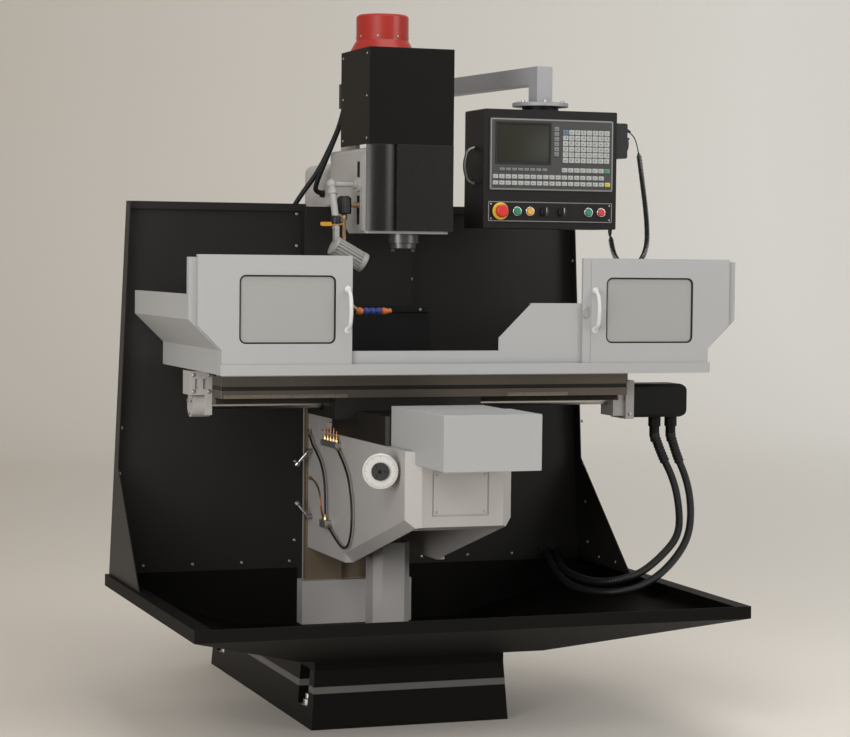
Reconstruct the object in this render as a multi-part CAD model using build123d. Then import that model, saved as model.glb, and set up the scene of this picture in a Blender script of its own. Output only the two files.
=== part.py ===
from build123d import *
import os
from math import atan2, cos, degrees, hypot, pi, radians, sin, sqrt, tan

# Vertical knee-type milling machine with a fixed head, a table guard and a hanging control box.
# Millimetres. The origin is on the floor, on the machine's centreline, below the table's centre
# line at rest. +X is to the operator's right, +Y to the back and +Z up.

# Gaps and sheet
RUN = 0.05            # radial clearance of a turned fit
GAP = 0.3             # clearance between sliding faces
SHEET = 2.0           # guard, covers and control box
PLATE = 3.0           # drip tray and back panels
EPS = 1.0             # how far a cutter reaches past a face

# Base casting
BASE_WIDTH = 662.0
BASE_FRONT = -205.0
BASE_BACK = 1066.0
BASE_HEIGHT = 185.0
BASE_DRAFT = 4.0      # degrees
BASE_WALL = 78.0
BASE_ROOF = 32.0
BASE_RIB = 30.0
POCKET_LENGTH = 105.0
POCKET_DEPTH = 48.0
POCKET_INSET = 62.0   # from the base's end to the pocket
POCKET_LEDGE = 62.0
ANCHOR_R = 11.0
ANCHOR_X = BASE_WIDTH / 2 - POCKET_DEPTH / 2

# Column casting
WAY_Y = 388.0         # plane of the ways that the knee slides on
WAY_HALF = 177.0
COLUMN_HALF = 192.0
COLUMN_BACK = 870.0
COLUMN_TOP = 1660.0
COLUMN_WALL = 30.0
FOOT_Y = 366.0        # front of the block below the ways
FOOT_HALF = 195.0
FOOT_TOP = 390.0
SLOT_HALF = 49.0      # dovetail slot between the ways
SLOT_DEPTH = 30.0
SLOT_FLARE = 15.0
SLOT_TOP = 1500.0
PANEL_Y = 430.0       # plane of the back panels

# Overarm and head
SPINDLE_Y = -70.0
OVERARM_HALF = 115.0
OVERARM_TOP = 1802.0
OVERARM_BACK = 640.0
HEAD_LEFT = -150.0
HEAD_RIGHT = 130.0
HEAD_FRONT = -150.0
HEAD_BACK = 228.0
HEAD_BOTTOM = 1562.0
HEAD_TOP = 1833.0
COVER_LEFT = -147.0
COVER_RIGHT = 138.0
COVER_FRONT = -166.0
COVER_BACK = 128.0
COVER_TOP = 2148.0
COVER_SPLIT = 1843.0  # where the upper cover meets the lower one
MOTOR_Y = 150.0
MOTOR_R = 97.0
MOTOR_SEAT = 1942.0
MOTOR_TOP = 2150.0
COWL_TOP = 2278.0
COWL_FLARE_R = 110.0
STAND_WALL = 14.0
STAND_TOP = 22.0      # plate under the motor
COVER_STEP_X = -51.0  # where the lower cover's flat front ends and its bulged part starts
COWL_R = 86.0
COWL_WALL = 3.0

# Quill, spindle and drive
QUILL_R = 52.0
QUILL_BOTTOM = 1532.0
QUILL_TOP = 1800.0
SPINDLE_R = 30.0
NOSE_R = 44.0
NOSE_BOTTOM = 1513.0
TAPER_R = 22.2        # large end of the tool taper
TAPER_DEPTH = 68.0
DRAWSHAFT_R = 19.0
PULLEY_Z = 1858.0
BELT_WIDTH = 32.0
BELT_THICK = 6.0
SPINDLE_PULLEY_R = 62.0
MOTOR_PULLEY_R = 46.0
ROTOR_R = 14.0
PULLEY_TOP = PULLEY_Z + BELT_WIDTH + 4
SLEEVE_R = DRAWSHAFT_R + 9
TEETH = 40

# Knee
KNEE_HALF = 170.0
KNEE_FRONT = -654.0
KNEE_TOP = 910.0
KNEE_BOTTOM = 503.0
KNEE_SLOPE_Y = -34.0  # where the underside starts to rise
KNEE_NOSE_Z = 684.0   # underside at the front
KNEE_REAR_TOP = 968.0
KNEE_REAR_Y = 262.0
KNEE_WALL = 28.0
KNEE_CHAMFER = 40.0
SCREW_Y = 45.0        # knee screw axis
KNEE_SCREW_R = 20.0
PEDESTAL_HALF = 62.0
PEDESTAL_TOP = 560.0
DIAL_R = 54.0
DIAL_CENTRE = (-231.0, -565.0, 846.0)
Y_SERVO_PLATE = 22.0
CAVITY_ROOF = KNEE_TOP - KNEE_WALL
GEAR_R = 46.0
SCREW_FOOT = 330.0    # lower end of the knee screw at rest
LEVER_Y = 340.0
LEVER_Z = (833.0, 612.0)

# Y ways, saddle and Y drive
YWAY_HALF = 132.0
YWAY_HEIGHT = 25.0
Y_SCREW_Z = 945.0
Y_SCREW_R = 12.5
SADDLE_HALF = 165.0
SADDLE_FRONT = -420.0
SADDLE_BACK = 150.0
SADDLE_STEP = 1000.0
SADDLE_TOP = 1043.0
SADDLE_WING = 245.0
HOOD_HALF = 152.0
HOOD_FRONT = -900.0
HOOD_BOTTOM = 871.0
HOOD_TOP = 1036.0

# Table
TABLE_LEFT = -617.0
TABLE_RIGHT = 756.0
TABLE_HALF = 165.0
TABLE_TOP = 1140.0
TSLOT_PITCH = 80.0
TSLOT_WIDTH = 16.0
TSLOT_HEAD = 26.0
X_SCREW_Z = 1016.0
X_SCREW_R = 14.0
SERVO = 112.0         # square of the axis motors
TABLE_SLIDE_LOW = 1022.0
TABLE_SLIDE_HALF = 95.0
TABLE_SLIDE_FLARE = 14.0
X_SERVO_FACE = TABLE_RIGHT + 72
X_SERVO_LENGTH = 196.0
CABLE_X = (X_SERVO_FACE + 104, X_SERVO_FACE + 164)
CABLE_R = 12.5

# Table guard
GUARD_X = 120.0       # centre of the guard
GUARD_TOP_HALF = 902.0
GUARD_LOW_HALF = 808.0
GUARD_FRONT = -402.0
GUARD_BACK = 330.0
GUARD_FLOOR = 1130.0
GUARD_SLOPE_LOW = 1204.0
GUARD_SLOPE_HIGH = 1296.0
GUARD_END_TOP = 1371.0
GUARD_FRONT_TOP = 1482.0
GUARD_WALL_TOP = 1200.0
GUARD_BACK_TOP = 1168.0
RAIL_LIP_TOP = 1161.0
DOOR_TOP = 1490.0
DOOR_BOTTOM = 1136.0
DOOR_THICK = 12.0
DOOR_WIDTH = 482.0
DOOR_TRAVEL = 380.0
DOOR_MEET = 105.0     # where the two doors meet when they are shut
STRIP_WIDTH = 28.0    # latch strip of the right door
WINDOW_WIDTH = 302.0
WINDOW_HEIGHT = 207.0
WINDOW_Z = 1326.5
WINDOW_INSET = 52.0   # from the door's inner edge
WINDOW_R = 20.0
GUARD_LEFT_TOP = GUARD_X - GUARD_TOP_HALF
GUARD_RIGHT_TOP = GUARD_X + GUARD_TOP_HALF
GUARD_LEFT_LOW = GUARD_X - GUARD_LOW_HALF
GUARD_RIGHT_LOW = GUARD_X + GUARD_LOW_HALF
RAIL_FRONT = GUARD_FRONT - 18
LEFT_WING_EDGE = -285.0
RIGHT_WING_EDGE = 495.0
RAISED = ((207.0, 1240.0), (316.0, 1348.0))    # foot and shoulder of the raised plate by the right wing
DOOR_FRONT = GUARD_FRONT - 13
WINDOW_LIP = 8.0      # how far the pane reaches past the opening
WINDOW_RECESS = 6.0

# Drip tray and back panels
TRAY_X = 18.0
TRAY_HALF = 875.0
TRAY_FRONT = -800.0
TRAY_RIM = 430.0
TRAY_LIP = 38.0
TRAY_FLOOR = 240.0
TRAY_FLOOR_HALF = 400.0
TRAY_FLOOR_FRONT = -330.0
TRAY_HEM = 48.0
PANEL_TOP = 1664.0
PANEL_TOP_HALF = 790.0
PANEL_LOW_HALF = 844.0
PANEL_RIM = 25.0
WING_DEPTH = 55.0
WING_APEX_Z = 790.0
WING_FOOT_Y = -20.0
CURTAIN_HALF = 250.0  # rubber curtain over the upper part of the ways
CURTAIN_TOP = 1318.0
CURTAIN_LENGTH = 196.0

# Electrical cabinet and control arm
CABINET_LEFT = -330.0
CABINET_RIGHT = 440.0
CABINET_FRONT = 884.0
CABINET_DEPTH = 236.0
CABINET_BOTTOM = 560.0
CABINET_TOP = 1632.0
ARM_ROOT = (375.0, 960.0)
ARM_TUBE = 57.0
ARM_WALL = 4.0
ARM_TOP = 2116.0
ARM_END = 1997.0
TURNTABLE_R = 92.0
TURNTABLE_THICK = 12.0
CABINET_BACK = CABINET_FRONT + CABINET_DEPTH
POST_FOOT = CABINET_TOP + 13
JOURNAL_R = 24.0
DOOR_PIN = (CABINET_LEFT - 8, CABINET_BACK + 8)
BOX_PIVOT = (492.0, -22.0)
PIN_R = 15.0

# Control box
BOX_X = 494.0
BOX_WIDTH = 466.0
BOX_FRONT = -115.0
BOX_DEPTH = 178.0
BOX_BOTTOM = 1585.0
BOX_TOP = 1969.0
UNIT_X = 496.0
UNIT_WIDTH = 434.0
UNIT_BOTTOM = 1707.0
UNIT_HEIGHT = 234.0
STRIP_BOTTOM = 1606.0
STRIP_HEIGHT = 66.0
BUTTON_Z = 1640.0
ESTOP_X = 318.0
BUTTON_X = {"green_left": 376.0, "yellow": 421.0, "green_right": 627.0, "red": 672.0}
KNOB_X = {"left": 472.0, "right": 534.0}
BUTTON_R = 11.0
BEZEL_R = 15.0
ESTOP_R = 21.0
BOX_LEFT = BOX_X - BOX_WIDTH / 2
BOX_RIGHT = BOX_X + BOX_WIDTH / 2
STRIP_FACE = BOX_FRONT - 3
BEZEL_FACE = STRIP_FACE - 4
KNOB_SHAFT_R = 5.0
WHEEL_UNIT = (727.0, 770.0, -105.0, -30.0, 1820.0, 1935.0)
WHEEL_Z = 1868.0
WHEEL_Y = -67.5
WHEEL_SHAFT_R = 5.0
CORD_R = 8.0

# Lamp, conduits and coolant
LAMP_ROOT = (-246.0, -94.0, 1716.0)
LAMP_ELBOW = (-246.0, -144.0, 1578.0)
LAMP_HEAD_R = 33.0
CONDUIT_R = 8.0
VALVE = (-204.0, -96.0, 1651.0)
NOZZLE_Z = 1315.0


def box(x0, x1, y0, y1, z0, z1):
    """A block between two corners."""
    return Pos((x0 + x1) / 2, (y0 + y1) / 2, (z0 + z1) / 2) * Box(abs(x1 - x0), abs(y1 - y0), abs(z1 - z0))


def cyl(start, end, r):
    """A round bar from one point to another."""
    a = Vector(*start)
    b = Vector(*end)
    plane = Plane(origin=a, z_dir=b - a)
    return extrude(plane * Circle(r), amount=(b - a).length)


def ring(start, end, r_out, r_in):
    """A tube from one point to another."""
    return cyl(start, end, r_out) - cyl(start, end, r_in)


def slab(points, direction, depth):
    """A flat outline given by its corners, pulled along a direction."""
    return extrude(make_face(Polyline(*points, close=True)), amount=depth, dir=direction)


def slab_xz(points, y0, y1):
    """A slab with its outline in X and Z, between two values of Y."""
    return slab([(x, y0, z) for x, z in points], (0, 1, 0), y1 - y0)


def slab_yz(points, x0, x1):
    """A slab with its outline in Y and Z, between two values of X."""
    return slab([(x0, y, z) for y, z in points], (1, 0, 0), x1 - x0)


def slab_xy(points, z0, z1):
    """A slab with its outline in X and Y, between two heights."""
    return slab([(x, y, z0) for x, y in points], (0, 0, 1), z1 - z0)


def tube(points, r, tightness=0.45):
    """A round cable or pipe: straight runs joined by the largest tangent arcs that fit."""
    pts = [Vector(*p) for p in points]
    radii = []
    for before, here, after in zip(pts, pts[1:], pts[2:]):
        into = here - before
        out = after - here
        turn = radians(into.get_angle(out))
        radii.append(tightness * min(into.length, out.length) / tan(turn / 2))
    path = FilletPolyline(*pts, radius=radii)
    start = Plane(origin=pts[0], z_dir=pts[1] - pts[0])
    return sweep(start * Circle(r), path=path), radii


nodes = {}


# Base, column and knee screw pedestal


def make_base():
    """Hollow casting with drafted sides, a rib inside and a bolt pocket at each corner."""
    length = BASE_BACK - BASE_FRONT
    mid_y = (BASE_BACK + BASE_FRONT) / 2
    body = Pos(0, mid_y, 0) * extrude(Rectangle(BASE_WIDTH, length), amount=BASE_HEIGHT, taper=BASE_DRAFT)
    half = BASE_WIDTH / 2 - BASE_WALL
    roof = BASE_HEIGHT - BASE_ROOF
    back_bay = box(-half, half, BASE_RIB / 2, BASE_BACK - BASE_WALL, -EPS, roof)
    front_bay = box(-half, half, BASE_FRONT + BASE_WALL, -BASE_RIB / 2, -EPS, roof)
    body = body - back_bay - front_bay
    body = body - cyl((0, SCREW_Y, 0), (0, SCREW_Y, BASE_HEIGHT + EPS), KNEE_SCREW_R + 6)
    for side in (-1, 1):
        for end_y, inward in ((BASE_FRONT, 1), (BASE_BACK, -1)):
            near = end_y + inward * POCKET_INSET
            far = near + inward * POCKET_LENGTH
            outer = side * (BASE_WIDTH / 2 + EPS)
            inner = side * (BASE_WIDTH / 2 - POCKET_DEPTH)
            body = body - box(inner, outer, near, far, POCKET_LEDGE, BASE_HEIGHT + EPS)
            hole_x = side * ANCHOR_X
            hole_y = (near + far) / 2
            body = body - cyl((hole_x, hole_y, -EPS), (hole_x, hole_y, POCKET_LEDGE + EPS), ANCHOR_R)
    return body


nodes["base"] = make_base()


def dovetail(y0, y1, narrow, flare, z0, z1):
    """A slide that widens from y0 to y1."""
    wide = narrow + flare
    return slab_xy([(-narrow, y0), (narrow, y0), (wide, y1), (-wide, y1)], z0, z1)


def make_column():
    """Hollow casting with the ways on its front and a dovetail slot between them."""
    foot = box(-FOOT_HALF, FOOT_HALF, FOOT_Y, COLUMN_BACK, BASE_HEIGHT, FOOT_TOP)
    ways = box(-WAY_HALF, WAY_HALF, WAY_Y, PANEL_Y + PLATE, FOOT_TOP, COLUMN_TOP)
    shaft = box(-COLUMN_HALF, COLUMN_HALF, PANEL_Y + PLATE, COLUMN_BACK, FOOT_TOP, COLUMN_TOP)
    corners = shaft.edges().filter_by(Axis.Z).group_by(Axis.Y)[-1]
    shaft = chamfer(corners, 24)
    body = foot + ways + shaft
    inner = COLUMN_HALF - COLUMN_WALL
    front_wall = WAY_Y + SLOT_DEPTH + COLUMN_WALL
    hollow = box(-inner, inner, front_wall, COLUMN_BACK - COLUMN_WALL, BASE_HEIGHT - EPS,
                 COLUMN_TOP - COLUMN_WALL)
    body = body - hollow
    slot = dovetail(WAY_Y, WAY_Y + SLOT_DEPTH, SLOT_HALF, SLOT_FLARE, FOOT_TOP, SLOT_TOP)
    return body - slot


nodes["column"] = make_column()


def make_pedestal():
    post = box(-PEDESTAL_HALF, PEDESTAL_HALF, SCREW_Y - PEDESTAL_HALF, SCREW_Y + PEDESTAL_HALF,
               BASE_HEIGHT, PEDESTAL_TOP)
    post = chamfer(post.edges().filter_by(Axis.Z), 24)
    bore = KNEE_SCREW_R + GAP
    return post - cyl((0, SCREW_Y, BASE_HEIGHT - EPS), (0, SCREW_Y, PEDESTAL_TOP + EPS), bore)


nodes["screw_pedestal"] = make_pedestal()


# Drip tray and back panels


def frustum(low, high, z_low, z_high):
    """A straight-sided pan between two rectangles, each given as x0, x1, y0, y1."""
    faces = []
    for (x0, x1, y0, y1), z in ((low, z_low), (high, z_high)):
        place = Pos((x0 + x1) / 2, (y0 + y1) / 2, z)
        faces.append(place * Rectangle(x1 - x0, y1 - y0))
    return loft(faces, ruled=True)


def make_tray():
    """Sheet pan that narrows to a flat floor, with an upright lip and a collar on the base."""
    lip_low = TRAY_RIM - TRAY_LIP
    rim = (TRAY_X - TRAY_HALF, TRAY_X + TRAY_HALF, TRAY_FRONT, PANEL_Y)
    floor = (-TRAY_FLOOR_HALF, TRAY_FLOOR_HALF, TRAY_FLOOR_FRONT, PANEL_Y)
    t = PLATE
    rim_in = (rim[0] + t, rim[1] - t, rim[2] + t, rim[3] - t)
    floor_in = (floor[0] + t, floor[1] - t, floor[2] + t, floor[3] - t)
    outer = frustum(floor, rim, TRAY_FLOOR, lip_low) + box(*rim, lip_low, TRAY_RIM)
    inner = frustum(floor_in, rim_in, TRAY_FLOOR + t, lip_low + t) + box(*rim_in, lip_low + t,
                                                                         TRAY_RIM + EPS)
    tray = outer - inner
    for side in (-1, 1):
        edge = TRAY_X + side * (TRAY_HALF - t)
        tray = tray + box(edge, edge - side * TRAY_HEM, rim_in[2], rim_in[3], TRAY_RIM - t, TRAY_RIM)
    collar_half = BASE_WIDTH / 2 - BASE_HEIGHT * tan(radians(BASE_DRAFT))
    collar_front = BASE_FRONT + BASE_HEIGHT * tan(radians(BASE_DRAFT))
    collar = box(-collar_half, collar_half, collar_front, FOOT_Y - GAP, BASE_HEIGHT, TRAY_FLOOR)
    collar = collar - box(-collar_half + t, collar_half - t, collar_front + t, FOOT_Y, BASE_HEIGHT - EPS,
                          TRAY_FLOOR + EPS)
    tray = tray + collar
    around_foot = box(-FOOT_HALF - GAP, FOOT_HALF + GAP, FOOT_Y - GAP, PANEL_Y + EPS, BASE_HEIGHT,
                      TRAY_RIM + EPS)
    post = PEDESTAL_HALF + GAP
    around_post = box(-post, post, SCREW_Y - post, SCREW_Y + post, TRAY_FLOOR - EPS, TRAY_FLOOR + t + EPS)
    return tray - around_foot - around_post


nodes["drip_tray"] = make_tray()


def make_back_panel(side):
    """Upright sheet beside the column, with a rolled rim and a leaning side wing."""
    low_z = TRAY_RIM - TRAY_LIP
    inner = WAY_HALF + GAP
    foot_gap = FOOT_HALF + GAP
    outline = [(inner, PANEL_TOP), (PANEL_TOP_HALF, PANEL_TOP), (PANEL_LOW_HALF, low_z), (foot_gap, low_z),
               (inner, low_z)]
    outline = [(side * x, z) for x, z in outline]
    panel = slab_xz(outline, PANEL_Y, PANEL_Y + PLATE)
    panel = panel - box(0, side * foot_gap, PANEL_Y - EPS, PANEL_Y + PLATE + EPS, low_z - EPS,
                        FOOT_TOP + GAP)
    rim = box(side * inner, side * (PANEL_TOP_HALF - PLATE), PANEL_Y - 12, PANEL_Y, PANEL_TOP - PLATE,
              PANEL_TOP)
    rim = rim + box(side * inner, side * (PANEL_TOP_HALF - PLATE), PANEL_Y - 12, PANEL_Y - 9,
                    PANEL_TOP - PANEL_RIM, PANEL_TOP)
    wing_z = TRAY_RIM
    lean = degrees(atan2(PANEL_LOW_HALF - PANEL_TOP_HALF, PANEL_TOP - low_z))
    wing_points = [(PANEL_Y + PLATE, PANEL_TOP), (PANEL_Y - WING_DEPTH, PANEL_TOP),
                   (PANEL_Y - WING_DEPTH, WING_APEX_Z), (WING_FOOT_Y, wing_z), (PANEL_Y + PLATE, wing_z)]
    wing = slab_yz([(y, z - low_z) for y, z in wing_points], 0, PLATE)
    if side > 0:
        wing = Pos(-PLATE, 0, 0) * wing
    wing = Pos(side * PANEL_LOW_HALF, 0, low_z) * Rot(0, -side * lean, 0) * wing
    wing = wing - box(-TRAY_X - 2 * TRAY_HALF, 2 * TRAY_HALF, WING_FOOT_Y - 10, PANEL_Y, 0, TRAY_RIM)
    wing = wing - box(-2 * TRAY_HALF, 2 * TRAY_HALF, WING_FOOT_Y - 10, PANEL_Y + 50, PANEL_TOP,
                      PANEL_TOP + 20)
    return panel + rim + wing


nodes["back_panel_left"] = make_back_panel(-1)
nodes["back_panel_right"] = make_back_panel(1)


def make_way_curtain():
    bar_z = CURTAIN_TOP - 18
    rubber = box(-CURTAIN_HALF, CURTAIN_HALF, WAY_Y - 6, WAY_Y - 3, CURTAIN_TOP - CURTAIN_LENGTH, bar_z)
    return rubber + box(-CURTAIN_HALF, CURTAIN_HALF, WAY_Y - 14, WAY_Y, bar_z, CURTAIN_TOP)


nodes["way_curtain"] = make_way_curtain()


# Overarm, head and covers


def make_overarm():
    arm = box(-OVERARM_HALF, OVERARM_HALF, HEAD_BACK, OVERARM_BACK, COLUMN_TOP, OVERARM_TOP)
    arm = fillet(arm.edges().filter_by(Axis.Y).group_by(Axis.Z)[-1], 32)
    hollow = box(-OVERARM_HALF + 25, OVERARM_HALF - 25, WAY_Y + 20, OVERARM_BACK - 25, COLUMN_TOP - EPS,
                 OVERARM_TOP - 30)
    return arm - hollow


nodes["overarm"] = make_overarm()


def make_head():
    side = [(HEAD_FRONT, HEAD_BOTTOM), (SPINDLE_Y + 90, HEAD_BOTTOM), (HEAD_BACK, COLUMN_TOP),
            (HEAD_BACK, HEAD_TOP), (HEAD_FRONT, HEAD_TOP)]
    body = slab_yz(side, HEAD_LEFT, HEAD_RIGHT)
    body = fillet(body.edges().filter_by(Axis.Z).group_by(Axis.Y)[0], 12)
    edges = body.edges().filter_by(Axis.Y).group_by(Axis.Z)[-1]
    body = fillet(edges, 14)
    stand_low = MOTOR_SEAT - STAND_TOP
    half = MOTOR_R + STAND_WALL + 4
    stand = box(-half, half, MOTOR_Y - 82, HEAD_BACK, stand_low, MOTOR_SEAT)
    for x in (-half, half - STAND_WALL):
        stand = stand + box(x, x + STAND_WALL, MOTOR_Y - 82, HEAD_BACK, HEAD_TOP - 20, stand_low)
    body = body + stand
    body = body - cyl((0, MOTOR_Y, stand_low - EPS), (0, MOTOR_Y, MOTOR_SEAT + EPS), 40)
    body = body - cyl((0, SPINDLE_Y, HEAD_BOTTOM - EPS), (0, SPINDLE_Y, HEAD_TOP + EPS), QUILL_R + RUN)
    inside = box(-62, 62, SPINDLE_Y + QUILL_R + 24, HEAD_BACK - 24, HEAD_BOTTOM + 128, HEAD_TOP - 28)
    body = body - inside
    recess = 14
    for z0, z1 in ((1590, 1682), (1702, 1790)):
        body = body - box(HEAD_LEFT - EPS, HEAD_LEFT + recess, -108, -58, z0, z1)
    rim = box(HEAD_LEFT - 6, HEAD_LEFT, HEAD_FRONT + 14, HEAD_FRONT + 44, HEAD_BOTTOM + 8, HEAD_TOP - 16)
    boss = cyl((HEAD_LEFT - 14, LAMP_ROOT[1], LAMP_ROOT[2]), (HEAD_LEFT, LAMP_ROOT[1], LAMP_ROOT[2]), 24)
    return body + rim + boss


nodes["head_casting"] = make_head()


def make_upper_cover():
    shell = box(COVER_LEFT, COVER_RIGHT, COVER_FRONT, COVER_BACK, COVER_SPLIT, COVER_TOP)
    shell = chamfer(shell.edges().filter_by(Axis.Z).group_by(Axis.Y)[0], 1.5)
    s = SHEET
    shell = shell - box(COVER_LEFT + s, COVER_RIGHT - s, COVER_FRONT + s, COVER_BACK + EPS,
                        COVER_SPLIT - EPS, COVER_TOP - s)
    motor_hole = cyl((0, MOTOR_Y, COVER_TOP - 2 * s), (0, MOTOR_Y, COVER_TOP + EPS), COWL_FLARE_R + 2)
    return shell - motor_hole


nodes["head_upper_cover"] = make_upper_cover()


def make_lower_cover():
    s = SHEET
    front = COVER_FRONT
    z0 = HEAD_BOTTOM + 8
    bulge = ThreePointArc((COVER_STEP_X, front + 10), ((COVER_STEP_X + HEAD_LEFT) / 2, front - 4),
                          (HEAD_LEFT, HEAD_FRONT - s))
    lines = [bulge, Line((HEAD_LEFT, HEAD_FRONT - s), (HEAD_LEFT, HEAD_FRONT - GAP)),
             Line((HEAD_LEFT, HEAD_FRONT - GAP), (COVER_STEP_X + s, HEAD_FRONT - GAP)),
             Line((COVER_STEP_X + s, HEAD_FRONT - GAP), (COVER_STEP_X + s, front + s)),
             Line((COVER_STEP_X + s, front + s), (COVER_RIGHT - s, front + s)),
             Line((COVER_RIGHT - s, front + s), (COVER_RIGHT - s, COVER_BACK)),
             Line((COVER_RIGHT - s, COVER_BACK), (COVER_RIGHT, COVER_BACK)),
             Line((COVER_RIGHT, COVER_BACK), (COVER_RIGHT, front)),
             Line((COVER_RIGHT, front), (COVER_STEP_X, front)),
             Line((COVER_STEP_X, front), (COVER_STEP_X, front + 10))]
    outline = make_face(Wire(lines))
    cover = Pos(0, 0, z0) * extrude(outline, amount=COVER_SPLIT - z0)
    for y in (HEAD_FRONT + 40, COVER_BACK - 40):
        for z in (z0 + 50, COVER_SPLIT - 50):
            cover = cover + cyl((HEAD_RIGHT, y, z), (COVER_RIGHT - s, y, z), 7)
    return cover


nodes["head_lower_cover"] = make_lower_cover()


def make_motor():
    body = cyl((0, MOTOR_Y, MOTOR_SEAT + 14), (0, MOTOR_Y, MOTOR_TOP), MOTOR_R)
    flange = box(-MOTOR_R, MOTOR_R, MOTOR_Y - 80, HEAD_BACK, MOTOR_SEAT, MOTOR_SEAT + 14)
    terminal = box(-MOTOR_R - 36, -MOTOR_R + 30, MOTOR_Y - 14, MOTOR_Y + 46, MOTOR_SEAT + 30,
                   MOTOR_SEAT + 110)
    body = body + flange + terminal
    fins = 28
    for i in range(fins):
        angle = 2 * pi * i / fins
        x = (MOTOR_R + 1) * sin(angle)
        y = MOTOR_Y - (MOTOR_R + 1) * cos(angle)
        if x > -MOTOR_R * 0.8:
            body = body - cyl((x, y, MOTOR_SEAT + 30), (x, y, MOTOR_TOP - 20), 5)
    return body - cyl((0, MOTOR_Y, MOTOR_SEAT - EPS), (0, MOTOR_Y, MOTOR_TOP + EPS), ROTOR_R + RUN)


nodes["spindle_motor"] = make_motor()


def make_cowl():
    """Fan cowl: a drum on a flared foot, turned, with a ring of air slots in its roof."""
    outer = [(MOTOR_R + GAP, MOTOR_TOP - 30), (COWL_FLARE_R, MOTOR_TOP - 30), (COWL_FLARE_R, MOTOR_TOP + 2),
             (COWL_R + 5, MOTOR_TOP + 36), (COWL_R, MOTOR_TOP + 44), (COWL_R, COWL_TOP - 6), (COWL_R - 6,
                                                                                              COWL_TOP),
             (0, COWL_TOP), (0, COWL_TOP - COWL_WALL), (COWL_R - 8, COWL_TOP - COWL_WALL),
             (COWL_R - COWL_WALL, COWL_TOP - 8), (COWL_R - COWL_WALL, MOTOR_TOP + 44),
             (MOTOR_R + GAP, MOTOR_TOP + 8)]
    profile = make_face(Polyline(*[(r, 0, z) for r, z in outer], close=True))
    cowl = Pos(0, MOTOR_Y, 0) * revolve(profile, axis=Axis.Z)
    slots = 12
    for i in range(slots):
        slot = Pos(0, MOTOR_Y, COWL_TOP) * Rot(0, 0, 360 / slots * i) * Pos(52, 0, 0) * Box(36, 9, 20)
        cowl = cowl - slot
    return cowl


nodes["fan_cowl"] = make_cowl()


# Quill, spindle and belt drive


def make_quill():
    body = cyl((0, SPINDLE_Y, QUILL_BOTTOM), (0, SPINDLE_Y, QUILL_TOP), QUILL_R)
    return body - cyl((0, SPINDLE_Y, QUILL_BOTTOM - EPS), (0, SPINDLE_Y, QUILL_TOP + EPS), SPINDLE_R + RUN)


nodes["quill"] = make_quill()


def make_spindle():
    shaft_top = MOTOR_SEAT + 20
    body = cyl((0, SPINDLE_Y, QUILL_BOTTOM - GAP), (0, SPINDLE_Y, QUILL_TOP - 10), SPINDLE_R)
    body = body + cyl((0, SPINDLE_Y, QUILL_TOP - 10), (0, SPINDLE_Y, shaft_top), DRAWSHAFT_R)
    nose = cyl((0, SPINDLE_Y, NOSE_BOTTOM), (0, SPINDLE_Y, QUILL_BOTTOM - GAP), NOSE_R)
    nose = chamfer(nose.edges().group_by(Axis.Z)[0], 3)
    body = body + nose
    small = TAPER_R - TAPER_DEPTH * 7 / 48
    taper = Pos(0, SPINDLE_Y, NOSE_BOTTOM + TAPER_DEPTH / 2) * Cone(TAPER_R, small, TAPER_DEPTH)
    for side in (-1, 1):
        x = side * 34
        body = body + box(x - 6, x + 6, SPINDLE_Y - 8, SPINDLE_Y + 8, NOSE_BOTTOM - 8, NOSE_BOTTOM + 2)
    return body - taper


nodes["spindle"] = make_spindle()


def pulley(x, y, r, bore, z0, z1, teeth):
    """A toothed belt pulley with a flange above and below the teeth."""
    wheel = cyl((x, y, z0), (x, y, z1), r)
    tooth_depth = 2.5
    pitch = 360 / teeth
    for i in range(teeth):
        cutter = Pos(x, y, (z0 + z1) / 2) * Rot(0, 0, pitch * i) * Pos(r, 0, 0) * Box(tooth_depth * 2,
                                                                                      3.2, z1 - z0)
        wheel = wheel - cutter
    for z in (z0 - 3, z1):
        wheel = wheel + cyl((x, y, z), (x, y, z + 3), r + 4)
    return wheel - cyl((x, y, z0 - 10), (x, y, z1 + 10), bore)


def make_spindle_pulley():
    wheel = pulley(0, SPINDLE_Y, SPINDLE_PULLEY_R, DRAWSHAFT_R + RUN, PULLEY_Z, PULLEY_TOP, TEETH)
    sleeve = ring((0, SPINDLE_Y, HEAD_TOP + GAP), (0, SPINDLE_Y, PULLEY_Z), SLEEVE_R, DRAWSHAFT_R + RUN)
    return wheel + sleeve


nodes["spindle_pulley"] = make_spindle_pulley()


def make_rotor():
    teeth = round(TEETH * MOTOR_PULLEY_R / SPINDLE_PULLEY_R)
    wheel = pulley(0, MOTOR_Y, MOTOR_PULLEY_R, ROTOR_R - 2, PULLEY_Z, PULLEY_TOP, teeth)
    shaft_top = COWL_TOP - 24
    shaft = cyl((0, MOTOR_Y, PULLEY_Z - 3), (0, MOTOR_Y, shaft_top), ROTOR_R)
    fan = cyl((0, MOTOR_Y, shaft_top - 42), (0, MOTOR_Y, shaft_top - 36), 66)
    for i in range(8):
        blade = Pos(0, MOTOR_Y, shaft_top - 29) * Rot(0, 0, 45 * i + 10) * Pos(38, 0, 0) * Box(62, 3, 20)
        fan = fan + blade
    return wheel + shaft + fan


nodes["motor_rotor"] = make_rotor()


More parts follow.
